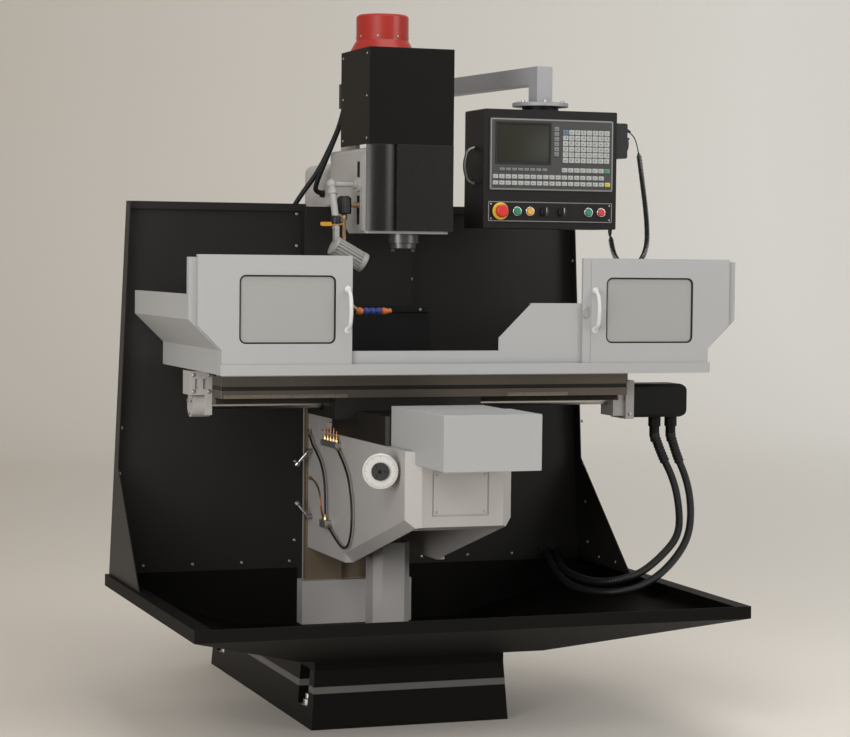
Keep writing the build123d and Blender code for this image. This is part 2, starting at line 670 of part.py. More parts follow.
def make_belt():
    """A belt round both pulleys: the outer loop less the inner one."""
    span = MOTOR_Y - SPINDLE_Y
    lean = (SPINDLE_PULLEY_R - MOTOR_PULLEY_R) / span

    def loop(grow):
        big = SPINDLE_PULLEY_R + grow
        small = MOTOR_PULLEY_R + grow
        side = sqrt(1 - lean * lean)
        flat = slab_xy([(-big * side, SPINDLE_Y + big * lean), (-small * side, MOTOR_Y + small * lean),
                        (small * side, MOTOR_Y + small * lean), (big * side, SPINDLE_Y + big * lean)],
                       PULLEY_Z + 2, PULLEY_Z + 2 + BELT_WIDTH)
        flat = flat + cyl((0, SPINDLE_Y, PULLEY_Z + 2), (0, SPINDLE_Y, PULLEY_Z + 2 + BELT_WIDTH), big)
        return flat + cyl((0, MOTOR_Y, PULLEY_Z + 2), (0, MOTOR_Y, PULLEY_Z + 2 + BELT_WIDTH), small)

    return loop(GAP + BELT_THICK) - loop(GAP)


nodes["drive_belt"] = make_belt()


# Knee with its screws, dial, levers and oil lines


def dial_axis():
    """Direction from the dial to the knee screw: the crank shaft drives it through bevel gears."""
    reach = hypot(DIAL_CENTRE[0], SCREW_Y - DIAL_CENTRE[1])
    return -DIAL_CENTRE[0] / reach, (SCREW_Y - DIAL_CENTRE[1]) / reach


def along_dial(distance, z=DIAL_CENTRE[2]):
    ux, uy = dial_axis()
    return (DIAL_CENTRE[0] + ux * distance, DIAL_CENTRE[1] + uy * distance, z)


def make_knee():
    """Hollow casting with a rising underside, the Y ways on top and the column's dovetail behind."""
    back = WAY_Y - GAP
    side = [(back, KNEE_BOTTOM), (KNEE_SLOPE_Y, KNEE_BOTTOM), (KNEE_FRONT, KNEE_NOSE_Z), (KNEE_FRONT,
                                                                                          KNEE_TOP),
            (KNEE_REAR_Y, KNEE_TOP), (KNEE_REAR_Y, KNEE_REAR_TOP), (back, KNEE_REAR_TOP)]
    body = slab_yz(side, -KNEE_HALF, KNEE_HALF)
    front_corners = body.edges().filter_by(Axis.Z).group_by(Axis.Y)[0]
    body = chamfer(front_corners, KNEE_CHAMFER)
    lean = atan2(KNEE_NOSE_Z - KNEE_BOTTOM, KNEE_SLOPE_Y - KNEE_FRONT)
    for side_x in (-1, 1):
        bevel = [(side_x * KNEE_HALF, 0), (side_x * (KNEE_HALF - 26), 0), (side_x * KNEE_HALF, 30)]
        strip = slab([(x, 0, z) for x, z in bevel], (0, -1, 0), 800)
        strip = Pos(0, KNEE_SLOPE_Y, KNEE_BOTTOM) * Rot(-degrees(lean), 0, 0) * strip
        body = body - strip
    w = KNEE_WALL
    cavity = [(back - 36, KNEE_BOTTOM - 60), (KNEE_SLOPE_Y, KNEE_BOTTOM - 60),
              (KNEE_FRONT + w + 24, KNEE_NOSE_Z - 60), (KNEE_FRONT + w + 24, CAVITY_ROOF), (back - 36,
                                                                                            CAVITY_ROOF)]
    body = body - slab_yz(cavity, -KNEE_HALF + w, KNEE_HALF - w)
    boss_end = KNEE_HALF + DIAL_CENTRE[0]
    ux = dial_axis()[0]
    body = body + cyl(along_dial(22), along_dial((-boss_end + 8) / ux), 38)
    body = body - cyl(along_dial(0), along_dial(420), 13)
    body = body - box(-96, 84, KNEE_FRONT - EPS, KNEE_FRONT + 4, 716, 852)
    way = [(-YWAY_HALF, KNEE_TOP), (YWAY_HALF, KNEE_TOP), (YWAY_HALF + 8, KNEE_TOP + YWAY_HEIGHT),
           (-YWAY_HALF - 8, KNEE_TOP + YWAY_HEIGHT)]
    body = body + slab_xz(way, KNEE_FRONT + 14, KNEE_REAR_Y)
    body = body - box(-30, 30, KNEE_FRONT + 42, KNEE_REAR_Y - 30, KNEE_TOP, KNEE_TOP + YWAY_HEIGHT + EPS)
    body = body + box(-27, 27, KNEE_FRONT, KNEE_FRONT + 42, KNEE_TOP, Y_SCREW_Z + 27)
    body = body + box(-27, 27, KNEE_REAR_Y - 30, KNEE_REAR_Y, KNEE_TOP, Y_SCREW_Z + 20)
    plate_half = SERVO / 2 + 6
    body = body + box(-plate_half, plate_half, KNEE_FRONT - Y_SERVO_PLATE, KNEE_FRONT, HOOD_BOTTOM + 6,
                      Y_SCREW_Z + plate_half)
    body = body - cyl((0, KNEE_FRONT - Y_SERVO_PLATE - EPS, Y_SCREW_Z), (0, KNEE_REAR_Y - 6, Y_SCREW_Z),
                      Y_SCREW_R + GAP)
    tongue = dovetail(back, WAY_Y + SLOT_DEPTH - GAP, SLOT_HALF - 2 * GAP, SLOT_FLARE, KNEE_BOTTOM,
                      KNEE_REAR_TOP)
    body = body + tongue
    return body - cyl((0, SCREW_Y, CAVITY_ROOF - EPS), (0, SCREW_Y, CAVITY_ROOF + 12), KNEE_SCREW_R + RUN)


nodes["knee"] = make_knee()


def make_knee_screw():
    top = CAVITY_ROOF + 12
    body = cyl((0, SCREW_Y, SCREW_FOOT), (0, SCREW_Y, top), KNEE_SCREW_R)
    body = chamfer(body.edges().group_by(Axis.Z)[0], 3)
    gear_top = DIAL_CENTRE[2] - 8
    gear = Pos(0, SCREW_Y, gear_top - 11) * Cone(GEAR_R + 4, GEAR_R - 16, 22)
    for i in range(24):
        cutter = Pos(0, SCREW_Y, gear_top - 4) * Rot(0, 0, 15 * i) * Pos(GEAR_R - 4, 0, 0) * Rot(0, -48, 0)
        gear = gear - cutter * Box(34, 4.2, 6)
    return body + gear


nodes["knee_screw"] = make_knee_screw()


def make_knee_dial():
    """Graduated ring, claw hub and the shaft that runs in to the bevel gears."""
    ring_part = cyl(along_dial(0), along_dial(21), DIAL_R)
    front_edges = ring_part.edges()
    ring_part = chamfer(front_edges, 2.5)
    hub = cyl(along_dial(-9), along_dial(2), 27)
    ring_part = ring_part + hub
    ux, uy = dial_axis()
    centre = Plane(origin=along_dial(-9), z_dir=(ux, uy, 0))
    for i in range(3):
        claw = centre * (Rot(0, 0, 120 * i) * Pos(19, 0, 0) * Box(14, 7, 8))
        ring_part = ring_part - claw
    ring_part = ring_part - cyl(along_dial(-10), along_dial(4), 6)
    reach = hypot(DIAL_CENTRE[0], SCREW_Y - DIAL_CENTRE[1])
    shaft = cyl(along_dial(20), along_dial(reach - GEAR_R - 14), 12)
    return ring_part + shaft


nodes["knee_dial"] = make_knee_dial()


def make_lock_lever(z, direction):
    """A clamping lever: a stud and hub on the knee's side, and an arm that ends in a knob."""
    face = -KNEE_HALF
    stud = cyl((face - GAP, LEVER_Y, z), (face - 9, LEVER_Y, z), 7)
    hub = cyl((face - 9, LEVER_Y, z), (face - 23, LEVER_Y, z), 10)
    root = Vector(face - 16, LEVER_Y, z)
    tip = Vector(face - 50, LEVER_Y + 14, z + direction * 44)
    run = (tip - root) / (tip - root).length
    arm = cyl(tuple(root), tuple(tip), 5)
    knob = chamfer(cyl(tuple(tip - run * 9), tuple(tip + run * 9), 9).edges(), 4)
    return stud + hub + arm + knob


nodes["lock_lever_upper"] = make_lock_lever(LEVER_Z[0], -1)
nodes["lock_lever_lower"] = make_lock_lever(LEVER_Z[1], 1)


def make_oil_lines():
    """Oil manifold with copper unions, a branch block and the lines between them."""
    face = -KNEE_HALF - GAP
    hose_x = face - 12
    manifold = box(face - 18, face, 20, 190, 866, 886)
    pieces = [manifold]
    for i in range(5):
        y = 40 + 32 * i
        union = cyl((face - 9, y, 886), (face - 9, y, 904), 6) + cyl((face - 9, y, 904), (face - 9, y,
                                                                                          922 + 8 * (i % 3)), 3)
        pieces.append(union)
    block = box(face - 22, face, 120, 186, 596, 622)
    pieces.append(block)
    slack = [(hose_x, 10, 862), (hose_x, -78, 812), (hose_x, -128, 722), (hose_x, -138, 640),
             (hose_x, -112, 572), (hose_x, -52, 548), (hose_x, 24, 566), (hose_x, 110, 600)]
    hose, radii = tube([(hose_x, 28, 866)] + slack[1:], 3.5)
    pieces.append(hose)
    supply = [(hose_x, 356, 905), (hose_x, 316, 862), (hose_x, 232, 826), (hose_x, 176, 780), (hose_x,
                                                                                               152, 712),
              (hose_x, 150, 622)]
    hose2, radii2 = tube(supply, 3.5)
    pieces.append(hose2)
    copper, radii3 = tube([(face - 4, 352, 742), (face - 4, 286, 734), (face - 4, 240, 700), (face - 4,
                                                                                              228, 640),
                           (face - 4, 186, 612)], 2.5)
    pieces.append(copper)
    print("oil line arcs, mm:", [round(r) for r in radii + radii2 + radii3])
    return Compound(children=pieces)


nodes["oil_lines"] = make_oil_lines()


def make_y_hood():
    s = SHEET
    back = KNEE_FRONT - GAP
    hood = box(-HOOD_HALF, HOOD_HALF, HOOD_FRONT, back, HOOD_BOTTOM, HOOD_TOP)
    hood = fillet(hood.edges().filter_by(Axis.Y), 3)
    hood = hood - box(-HOOD_HALF + s, HOOD_HALF - s, HOOD_FRONT + s, back + EPS, HOOD_BOTTOM + s,
                      HOOD_TOP - s)
    return hood


nodes["y_hood"] = make_y_hood()


def make_y_servo():
    half = SERVO / 2
    face = KNEE_FRONT - Y_SERVO_PLATE
    body = box(-half, half, face - 195, face, Y_SCREW_Z - half, Y_SCREW_Z + half)
    body = chamfer(body.edges().filter_by(Axis.Y), 9)
    cap = box(-half + 10, half - 10, face - 205, face - 195, Y_SCREW_Z - half + 10, Y_SCREW_Z + half - 10)
    return body + cap - cyl((0, face - 40, Y_SCREW_Z), (0, face + EPS, Y_SCREW_Z), Y_SCREW_R + 2)


nodes["y_servo"] = make_y_servo()


def make_y_screw():
    front = KNEE_FRONT - Y_SERVO_PLATE - 30
    return cyl((0, front, Y_SCREW_Z), (0, KNEE_REAR_Y - 8, Y_SCREW_Z), Y_SCREW_R)


nodes["y_screw"] = make_y_screw()


# Saddle and its cover


def make_saddle():
    low = KNEE_TOP + GAP
    body = box(-SADDLE_HALF, SADDLE_HALF, SADDLE_FRONT, SADDLE_BACK, low, SADDLE_STEP)
    body = chamfer(body.edges().filter_by(Axis.Z), 10)
    upper = box(-SADDLE_WING, SADDLE_WING, -TABLE_HALF + 12, TABLE_HALF - 15, SADDLE_STEP - 26,
                SADDLE_TOP - GAP)
    body = body + upper
    top = KNEE_TOP + YWAY_HEIGHT + GAP
    y0 = SADDLE_FRONT - EPS
    y1 = SADDLE_BACK + EPS
    slot = [(-YWAY_HALF - 2 * GAP, low - EPS), (YWAY_HALF + 2 * GAP, low - EPS), (YWAY_HALF + 8 + 2 * GAP,
                                                                                  top),
            (-YWAY_HALF - 8 - 2 * GAP, top)]
    body = body - slab_xz(slot, y0, y1)
    body = body - box(-30, 30, y0, y1, low - EPS, Y_SCREW_Z + 30)
    nut = box(-26, 26, -60, 60, Y_SCREW_Z - 19, Y_SCREW_Z + 30)
    body = body + nut - cyl((0, -61, Y_SCREW_Z), (0, 61, Y_SCREW_Z), Y_SCREW_R + GAP)
    under = TABLE_SLIDE_LOW - GAP
    wide = TABLE_SLIDE_HALF + 2 * GAP
    narrow = wide - TABLE_SLIDE_FLARE
    x0 = -SADDLE_WING - EPS
    x1 = SADDLE_WING + EPS
    slot = [(-wide, under), (wide, under), (narrow, SADDLE_TOP + EPS), (-narrow, SADDLE_TOP + EPS)]
    body = body - slab_yz(slot, x0, x1)
    body = body - box(x0, x1, -24, 24, X_SCREW_Z - 22, SADDLE_TOP)
    nut = box(-35, 35, -20, 20, X_SCREW_Z - 24, X_SCREW_Z + 17)
    return body + nut - cyl((-36, 0, X_SCREW_Z), (36, 0, X_SCREW_Z), X_SCREW_R + GAP)


nodes["saddle"] = make_saddle()


def make_saddle_cover():
    """Sheet cover on the saddle's front that slides inside the fixed hood."""
    s = SHEET
    half = HOOD_HALF - s - 1.5
    top = HOOD_TOP - s - 1.5
    front = KNEE_FRONT - 18
    low = KNEE_TOP + GAP
    body = box(-half, half, front, SADDLE_FRONT, low, top)
    body = body - box(-half + s, half - s, front - EPS, SADDLE_FRONT - s, low - EPS, top - s)
    body = body - box(-YWAY_HALF - 12, YWAY_HALF + 12, SADDLE_FRONT - s - EPS, SADDLE_FRONT + EPS,
                      low - EPS,
                      Y_SCREW_Z + 35)
    return body


nodes["saddle_cover"] = make_saddle_cover()


# Table, end brackets and X drive


def make_table():
    body = box(TABLE_LEFT, TABLE_RIGHT, -TABLE_HALF, TABLE_HALF, SADDLE_TOP, TABLE_TOP)
    for side in (-1, 1):
        groove = box(TABLE_LEFT - EPS, TABLE_RIGHT + EPS, side * TABLE_HALF, side * (TABLE_HALF - 7),
                     1068, 1081)
        step = box(TABLE_LEFT - EPS, TABLE_RIGHT + EPS, side * TABLE_HALF, side * (TABLE_HALF - 3),
                   SADDLE_TOP - EPS,
                   1068)
        body = body - groove - step
    for i in (-1, 0, 1):
        y = i * TSLOT_PITCH
        body = body - box(TABLE_LEFT - EPS, TABLE_RIGHT + EPS, y - TSLOT_WIDTH / 2, y + TSLOT_WIDTH / 2,
                          TABLE_TOP - 30, TABLE_TOP + EPS)
        body = body - box(TABLE_LEFT - EPS, TABLE_RIGHT + EPS, y - TSLOT_HEAD / 2, y + TSLOT_HEAD / 2,
                          TABLE_TOP - 30, TABLE_TOP - 17)
    narrow = TABLE_SLIDE_HALF - TABLE_SLIDE_FLARE
    slide = [(-TABLE_SLIDE_HALF, TABLE_SLIDE_LOW), (TABLE_SLIDE_HALF, TABLE_SLIDE_LOW),
             (narrow, SADDLE_TOP), (-narrow, SADDLE_TOP)]
    body = body + slab_yz(slide, TABLE_LEFT, TABLE_RIGHT)
    return body - box(TABLE_LEFT - EPS, TABLE_RIGHT + EPS, -24, 24, TABLE_SLIDE_LOW - EPS, X_SCREW_Z + 20)


nodes["table"] = make_table()


def make_screw_brackets():
    """The bearing bracket at the left end and the motor bracket at the right end."""
    left = box(TABLE_LEFT - 72, TABLE_LEFT, -46, 46, SADDLE_TOP + 6, GUARD_FLOOR - 6)
    left = left + box(TABLE_LEFT - 22, TABLE_LEFT, -46, 46, X_SCREW_Z - 30, SADDLE_TOP + 6)
    left = left + cyl((TABLE_LEFT - 60, 0, X_SCREW_Z), (TABLE_LEFT, 0, X_SCREW_Z), 38)
    left = left - cyl((TABLE_LEFT - 48, 0, X_SCREW_Z), (TABLE_LEFT + EPS, 0, X_SCREW_Z), X_SCREW_R + GAP)
    for x in (TABLE_LEFT - 50, TABLE_LEFT - 24):
        left = left - box(x - 5, x + 5, -46 - EPS, -38, GUARD_FLOOR - 62, GUARD_FLOOR - 30)
    half = SERVO / 2
    plate = TABLE_RIGHT + 42
    right = box(TABLE_RIGHT, plate, -50, 50, X_SCREW_Z - 50, SADDLE_TOP - 2)
    right = right + box(plate, plate + 30, -half - 4, half + 4, X_SCREW_Z - half - 4, X_SCREW_Z + half + 6)
    right = right + box(TABLE_RIGHT, plate, -TABLE_HALF + 40, TABLE_HALF - 40, SADDLE_TOP, SADDLE_TOP + 45)
    right = right + box(TABLE_RIGHT, plate, -50, 50, SADDLE_TOP - 4, SADDLE_TOP + 4)
    right = right - cyl((TABLE_RIGHT - EPS, 0, X_SCREW_Z), (plate + 31, 0, X_SCREW_Z), X_SCREW_R + GAP)
    return Compound(children=[left, right])


nodes["screw_brackets"] = make_screw_brackets()


def make_x_servo():
    half = SERVO / 2
    end = X_SERVO_FACE + X_SERVO_LENGTH
    body = box(X_SERVO_FACE, end, -half, half, X_SCREW_Z - half, X_SCREW_Z + half)
    body = chamfer(body.edges().filter_by(Axis.X), 10)
    body = fillet(body.edges().filter_by(Axis.Y).group_by(Axis.X)[-1], 26)
    for x in CABLE_X:
        low = X_SCREW_Z - half
        body = body + cyl((x, 0, low - 34), (x, 0, low + 4), 21) + cyl((x, 0, low - 58), (x, 0, low - 34),
                                                                       17)
    return body - cyl((X_SERVO_FACE - EPS, 0, X_SCREW_Z), (X_SERVO_FACE + 44, 0, X_SCREW_Z), X_SCREW_R + 2)


nodes["x_servo"] = make_x_servo()
nodes["x_screw"] = cyl((TABLE_LEFT - 46, 0, X_SCREW_Z), (X_SERVO_FACE + 40, 0, X_SCREW_Z), X_SCREW_R)


# Table guard, doors and windows


def make_guard_pan():
    """Floor round the table, a low lip at the back and the channel that carries the doors."""
    s = SHEET
    pan = box(GUARD_LEFT_LOW + s, GUARD_RIGHT_LOW - s, GUARD_FRONT + s, GUARD_BACK, GUARD_FLOOR,
              GUARD_FLOOR + s)
    pan = pan - box(TABLE_LEFT, TABLE_RIGHT, -TABLE_HALF, TABLE_HALF, GUARD_FLOOR - EPS,
                    GUARD_FLOOR + s + EPS)
    for side in (-1, 1):
        pan = pan + box(TABLE_LEFT, TABLE_RIGHT, side * TABLE_HALF, side * (TABLE_HALF + s),
                        GUARD_FLOOR - 18,
                        GUARD_FLOOR + s)
    pan = pan + box(GUARD_LEFT_LOW + s, GUARD_RIGHT_LOW - s, GUARD_BACK - s, GUARD_BACK, GUARD_FLOOR,
                    GUARD_BACK_TOP)
    channel = box(GUARD_LEFT_LOW, GUARD_RIGHT_LOW, RAIL_FRONT, GUARD_FRONT, GUARD_FLOOR, GUARD_FLOOR + s)
    channel = channel + box(GUARD_LEFT_LOW, GUARD_RIGHT_LOW, RAIL_FRONT, RAIL_FRONT + s, GUARD_FLOOR,
                            RAIL_LIP_TOP)
    joint = box(GUARD_LEFT_LOW + s, GUARD_RIGHT_LOW - s, GUARD_FRONT, GUARD_FRONT + s, GUARD_FLOOR - s,
                GUARD_FLOOR)
    joint = joint + box(GUARD_LEFT_LOW + s, GUARD_RIGHT_LOW - s, RAIL_FRONT, GUARD_FRONT + 40,
                        GUARD_FLOOR - s,
                        GUARD_FLOOR)
    return pan + channel + joint


nodes["guard_pan"] = make_guard_pan()


def make_guard_end(side):
    s = SHEET
    low = GUARD_X + side * GUARD_LOW_HALF
    top = GUARD_X + side * GUARD_TOP_HALF
    outer = [(low, GUARD_FLOOR), (low, GUARD_SLOPE_LOW), (top, GUARD_SLOPE_HIGH), (top, GUARD_END_TOP)]
    shift = s * (sqrt(2) - 1)
    inner = [(top - side * s, GUARD_END_TOP), (top - side * s, GUARD_SLOPE_HIGH + shift),
             (low - side * s, GUARD_SLOPE_LOW + shift), (low - side * s, GUARD_FLOOR)]
    wall = slab_xz(outer + inner, GUARD_FRONT + s, GUARD_BACK)
    hem = box(top - side * s, top - side * 14, GUARD_FRONT + s, GUARD_BACK, GUARD_END_TOP - s,
              GUARD_END_TOP)
    return wall + hem


nodes["guard_ends"] = Compound(children=[make_guard_end(-1), make_guard_end(1)])


def make_guard_front():
    """Front sheet: a low wall in the middle, a wing at each end and a raised plate by the right wing."""
    s = SHEET
    y0 = GUARD_FRONT
    outline = [(GUARD_LEFT_LOW, GUARD_FLOOR + s), (GUARD_RIGHT_LOW, GUARD_FLOOR + s),
               (GUARD_RIGHT_LOW, GUARD_SLOPE_LOW), (GUARD_RIGHT_TOP, GUARD_SLOPE_HIGH),
               (GUARD_RIGHT_TOP, GUARD_FRONT_TOP), (RIGHT_WING_EDGE, GUARD_FRONT_TOP),
               (RIGHT_WING_EDGE, RAISED[1][1]), RAISED[1], RAISED[0], (RAISED[0][0], GUARD_WALL_TOP),
               (LEFT_WING_EDGE, GUARD_WALL_TOP), (LEFT_WING_EDGE, GUARD_FRONT_TOP),
               (GUARD_LEFT_TOP, GUARD_FRONT_TOP), (GUARD_LEFT_TOP, GUARD_SLOPE_HIGH),
               (GUARD_LEFT_LOW, GUARD_SLOPE_LOW)]
    front = slab_xz(outline, y0, y0 + s)
    hem = 16
    hem_top = DOOR_TOP - 26
    front = front + box(LEFT_WING_EDGE - s, RAISED[0][0], y0, y0 + hem, GUARD_WALL_TOP - s, GUARD_WALL_TOP)
    front = front + box(RAISED[1][0], RIGHT_WING_EDGE + s, y0, y0 + hem, RAISED[1][1] - s, RAISED[1][1])
    front = front + box(LEFT_WING_EDGE - s, LEFT_WING_EDGE, y0, y0 + hem, GUARD_WALL_TOP, hem_top)
    front = front + box(RIGHT_WING_EDGE, RIGHT_WING_EDGE + s, y0, y0 + hem, RAISED[1][1], hem_top)
    for side, inner in ((-1, LEFT_WING_EDGE), (1, RIGHT_WING_EDGE)):
        edge = GUARD_X + side * GUARD_TOP_HALF
        front = front + box(edge, inner, y0, y0 + s + 1, GUARD_FRONT_TOP - s, GUARD_FRONT_TOP)
        front = front + box(edge, edge - side * s, y0, y0 + 24, GUARD_END_TOP + GAP, GUARD_FRONT_TOP)
    return front


nodes["guard_front"] = make_guard_front()


def window_outline(x, y, depth, grow):
    frame = Plane(origin=(x, y, WINDOW_Z), x_dir=(1, 0, 0), z_dir=(0, -1, 0))
    outline = frame * RectangleRounded(WINDOW_WIDTH + 2 * grow, WINDOW_HEIGHT + 2 * grow, WINDOW_R + grow)
    return extrude(outline, amount=-depth)


def make_door(side):
    """A door of folded sheet on slide shoes; side -1 is the left door."""
    s = SHEET
    y0 = DOOR_FRONT
    y1 = DOOR_FRONT + DOOR_THICK
    start = DOOR_MEET + side * (DOOR_TRAVEL + GAP)
    inner = start + side * (STRIP_WIDTH if side > 0 else 0)
    outer = inner + side * DOOR_WIDTH
    step = outer - side * (GUARD_TOP_HALF - GUARD_LOW_HALF - 20)
    rise = abs(outer - step)
    corner = GUARD_SLOPE_LOW + rise

    def outline(cut):
        return [(inner + side * cut, DOOR_BOTTOM + cut), (step - side * cut, DOOR_BOTTOM + cut),
                (step - side * cut, GUARD_SLOPE_LOW + 0.4 * cut), (outer - side * cut, corner + 0.4 * cut),
                (outer - side * cut, DOOR_TOP - cut), (inner + side * cut, DOOR_TOP - cut)]

    door = slab_xz(outline(0), y0, y1) - slab_xz(outline(s), y0 + s, y1 + EPS)
    middle = inner + side * (WINDOW_INSET + WINDOW_WIDTH / 2)
    door = door + window_outline(middle, y0, DOOR_THICK, 14)
    door = door - window_outline(middle, y0 - EPS, DOOR_THICK + 2 * EPS, 0)
    door = door - window_outline(middle, y0 + WINDOW_RECESS, DOOR_THICK, WINDOW_LIP)
    shoe_y = (y0 + y1) / 2
    for x in (inner + side * 40, step - side * 40):
        door = door + box(x - 20, x + 20, shoe_y - 4, shoe_y + 4, GUARD_FLOOR + s + GAP, DOOR_BOTTOM + s)
    hook_back = GUARD_FRONT + s + 4
    top = box(inner, outer, y1 - s, hook_back, DOOR_TOP - s, DOOR_TOP)
    door = door + top + box(inner, outer, hook_back - s, hook_back, DOOR_TOP - 20, DOOR_TOP)
    handle_x = inner + side * 14
    if side > 0:
        strip = box(start, inner, y0 + s, y1, DOOR_BOTTOM, DOOR_TOP)
        latch = box(start, start + 16, y0 - 5, y0 + s, WINDOW_Z - 22, WINDOW_Z + 10)
        door = door + strip + latch
    reach = 36
    grip = [(handle_x, y0 + s / 2, WINDOW_Z + 62), (handle_x, y0 - reach * 0.72, WINDOW_Z + 48),
            (handle_x, y0 - reach, WINDOW_Z), (handle_x, y0 - reach * 0.72, WINDOW_Z - 48),
            (handle_x, y0 + s / 2, WINDOW_Z - 62)]
    handle = tube(grip, 6)[0]
    pane = window_outline(middle, y0 + WINDOW_RECESS, 4, WINDOW_LIP)
    return door + handle, pane


nodes["door_left"], nodes["window_left"] = make_door(-1)
nodes["door_right"], nodes["window_right"] = make_door(1)


# Cables of the X motor


def make_servo_cables():
    top = X_SCREW_Z - SERVO / 2 - 58
    near, far = CABLE_X
    outer = [(far, 0, top), (far + 14, -6, top - 60), (far + 50, -34, top - 160), (far + 46, -78,
                                                                                   top - 258),
             (far + 6, -138, top - 346), (far - 98, -222, top - 420), (far - 212, -290, top - 468),
             (far - 300, -300, top - 490), (far - 366, -220, top - 500), (far - 388, -60, top - 500),
             (far - 350, 160, top - 476), (far - 281, PANEL_Y - 30, top - 446), (far - 281, PANEL_Y,
                                                                                 top - 446)]
    inner = [(near, 0, top), (near + 20, -2, top - 60), (near + 66, -24, top - 160), (near + 68, -66,
                                                                                      top - 262),
             (near + 34, -130, top - 336), (near - 64, -206, top - 392), (near - 162, -262, top - 436),
             (near - 238, -268, top - 456), (near - 290, -204, top - 470), (near - 298, -60, top - 474),
             (near - 270, 160, top - 468), (near - 180, PANEL_Y - 30, top - 446), (near - 180, PANEL_Y,
                                                                                   top - 446)]
    cables = []
    for route in (outer, inner):
        cable, radii = tube(route[:-1] + [(route[-2][0], PANEL_Y - 1, route[-2][2])], CABLE_R)
        end = route[-1]
        gland = cyl((end[0], PANEL_Y - 22, end[2]), (end[0], PANEL_Y, end[2]), CABLE_R + 6)
        collar = box(near - 50, far + 50, -50, 50, top, top + 30)
        cables.append(cable + gland - collar)
        print("servo cable arcs, mm:", [round(r) for r in radii])
    return Compound(children=cables)


nodes["x_servo_cables"] = make_servo_cables()


# Conduits, coolant hose and lamp


def make_conduits():
    """Two cables: one from the cabinet and one from the overarm, both up into the head."""
    top = MOTOR_SEAT + 30
    front = CABINET_FRONT
    to_cabinet = [(-122, 178, top), (-128, 196, 1925), (-142, 232, 1865), (-168, 320, 1764), (-190, 415,
                                                                                              1702),
                  (-206, 480, 1650), (-218, 560, 1570), (-226, 690, 1450), (-226, 790, 1425), (-226,
                                                                                               front, 1422)]
    to_overarm = [(-122, 150, top), (-140, 180, 1900), (-160, 226, 1822), (-168, 290, 1760), (-164, 352,
                                                                                              1722),
                  (-150, 396, 1704), (-OVERARM_HALF, 412, 1698)]
    first, radii = tube(to_cabinet, CONDUIT_R)
    second, radii2 = tube(to_overarm, CONDUIT_R)
    second = second - box(-OVERARM_HALF, 0, 300, 500, 1600, 1800)
    print("conduit arcs, mm:", [round(r) for r in radii + radii2])
    first = first + cyl((-226, front - 16, 1422), (-226, front, 1422), CONDUIT_R + 5)
    first = first - box(-250, -200, front, front + 20, 1400, 1450) - box(-150, -100, 100, 250, top,
                                                                         top + 20)
    second = second - box(-150, -100, 100, 250, top, top + 20)
    return Compound(children=[first, second])


nodes["conduits"] = make_conduits()


def make_coolant_hose():
    """Coolant valve on the head's side, a pipe down from it and a jointed nozzle."""
    x, y, z = VALVE
    stub = cyl((HEAD_LEFT + 14, y, z), (x, y, z), 8)
    knob = cyl((x, y, z - 29), (x, y, z + 28), 23)
    knob = chamfer(knob.edges(), 4)
    pipe = tube([(x, y, z - 20), (x, y, 1392), (x + 14, y, 1340), (x + 52, y, NOZZLE_Z)], 7)[0]
    hose = stub + knob + pipe
    start = x + 44
    for i in range(5):
        x0 = start + 21 * i
        bead = cyl((x0 + 2, y, NOZZLE_Z), (x0 + 19, y, NOZZLE_Z), 12)
        hose = hose + cyl((x0, y, NOZZLE_Z), (x0 + 21, y, NOZZLE_Z), 8.5) + chamfer(bead.edges(), 3)
    return hose


nodes["coolant_hose"] = make_coolant_hose()


def make_lamp_arm():
    x, y, z = LAMP_ROOT
    ex, ey, ez = LAMP_ELBOW
    stub = cyl((HEAD_LEFT - 14 - GAP, y, z), (x, y, z), 9) + cyl((HEAD_LEFT - 26, y, z),
                                                                 (HEAD_LEFT - 14 - GAP, y, z), 15)
    knuckle = Pos(x, y, z) * Sphere(16)
    foot = ez + 24
    length = hypot(ey - y, foot - z)
    uy = (ey - y) / length
    uz = (foot - z) / length
    arm = cyl((x, y, z), (ex, ey, foot), 11)
    collar = cyl((x, y + uy * 20, z + uz * 20), (x, y + uy * 36, z + uz * 36), 14)
    neck = cyl((ex, ey, foot), (ex, ey, ez), 5)
    eye = cyl((ex, ey - 5, ez), (ex, ey + 5, ez), 9)
    return stub + knuckle + arm + collar + neck + eye - cyl((ex, ey - 6, ez), (ex, ey + 6, ez), 4 + RUN)


nodes["lamp_arm"] = make_lamp_arm()


def make_lamp_head():
    ex, ey, ez = LAMP_ELBOW
    start = (ex - 9, ey, ez - 54)
    end = (ex + 94, ey, ez - 111)
    head = cyl(start, end, LAMP_HEAD_R)
    run = Vector(*end) - Vector(*start)
    step = run / run.length
    for i in range(4):
        a = Vector(*start) + step * (24 + 14 * i)
        groove = ring(tuple(a), tuple(a + step * 5), LAMP_HEAD_R + 2, LAMP_HEAD_R - 4)
        head = head - groove
    lens = Vector(*end)
    head = head - cyl(tuple(lens - step * 8), tuple(lens + step), LAMP_HEAD_R - 4)
    for y0, y1 in ((ey - 12, ey - 5 - GAP), (ey + 5 + GAP, ey + 12)):
        head = head + cyl((ex, y0, ez), (ex, y1, ez), 10)
        head = head + box(ex - 8, ex + 8, y0, y1, ez - 44, ez)
    return head + cyl((ex, ey - 12, ez), (ex, ey + 12, ez), 4)


nodes["lamp_head"] = make_lamp_head()


# Electrical cabinet, its door and the control arm


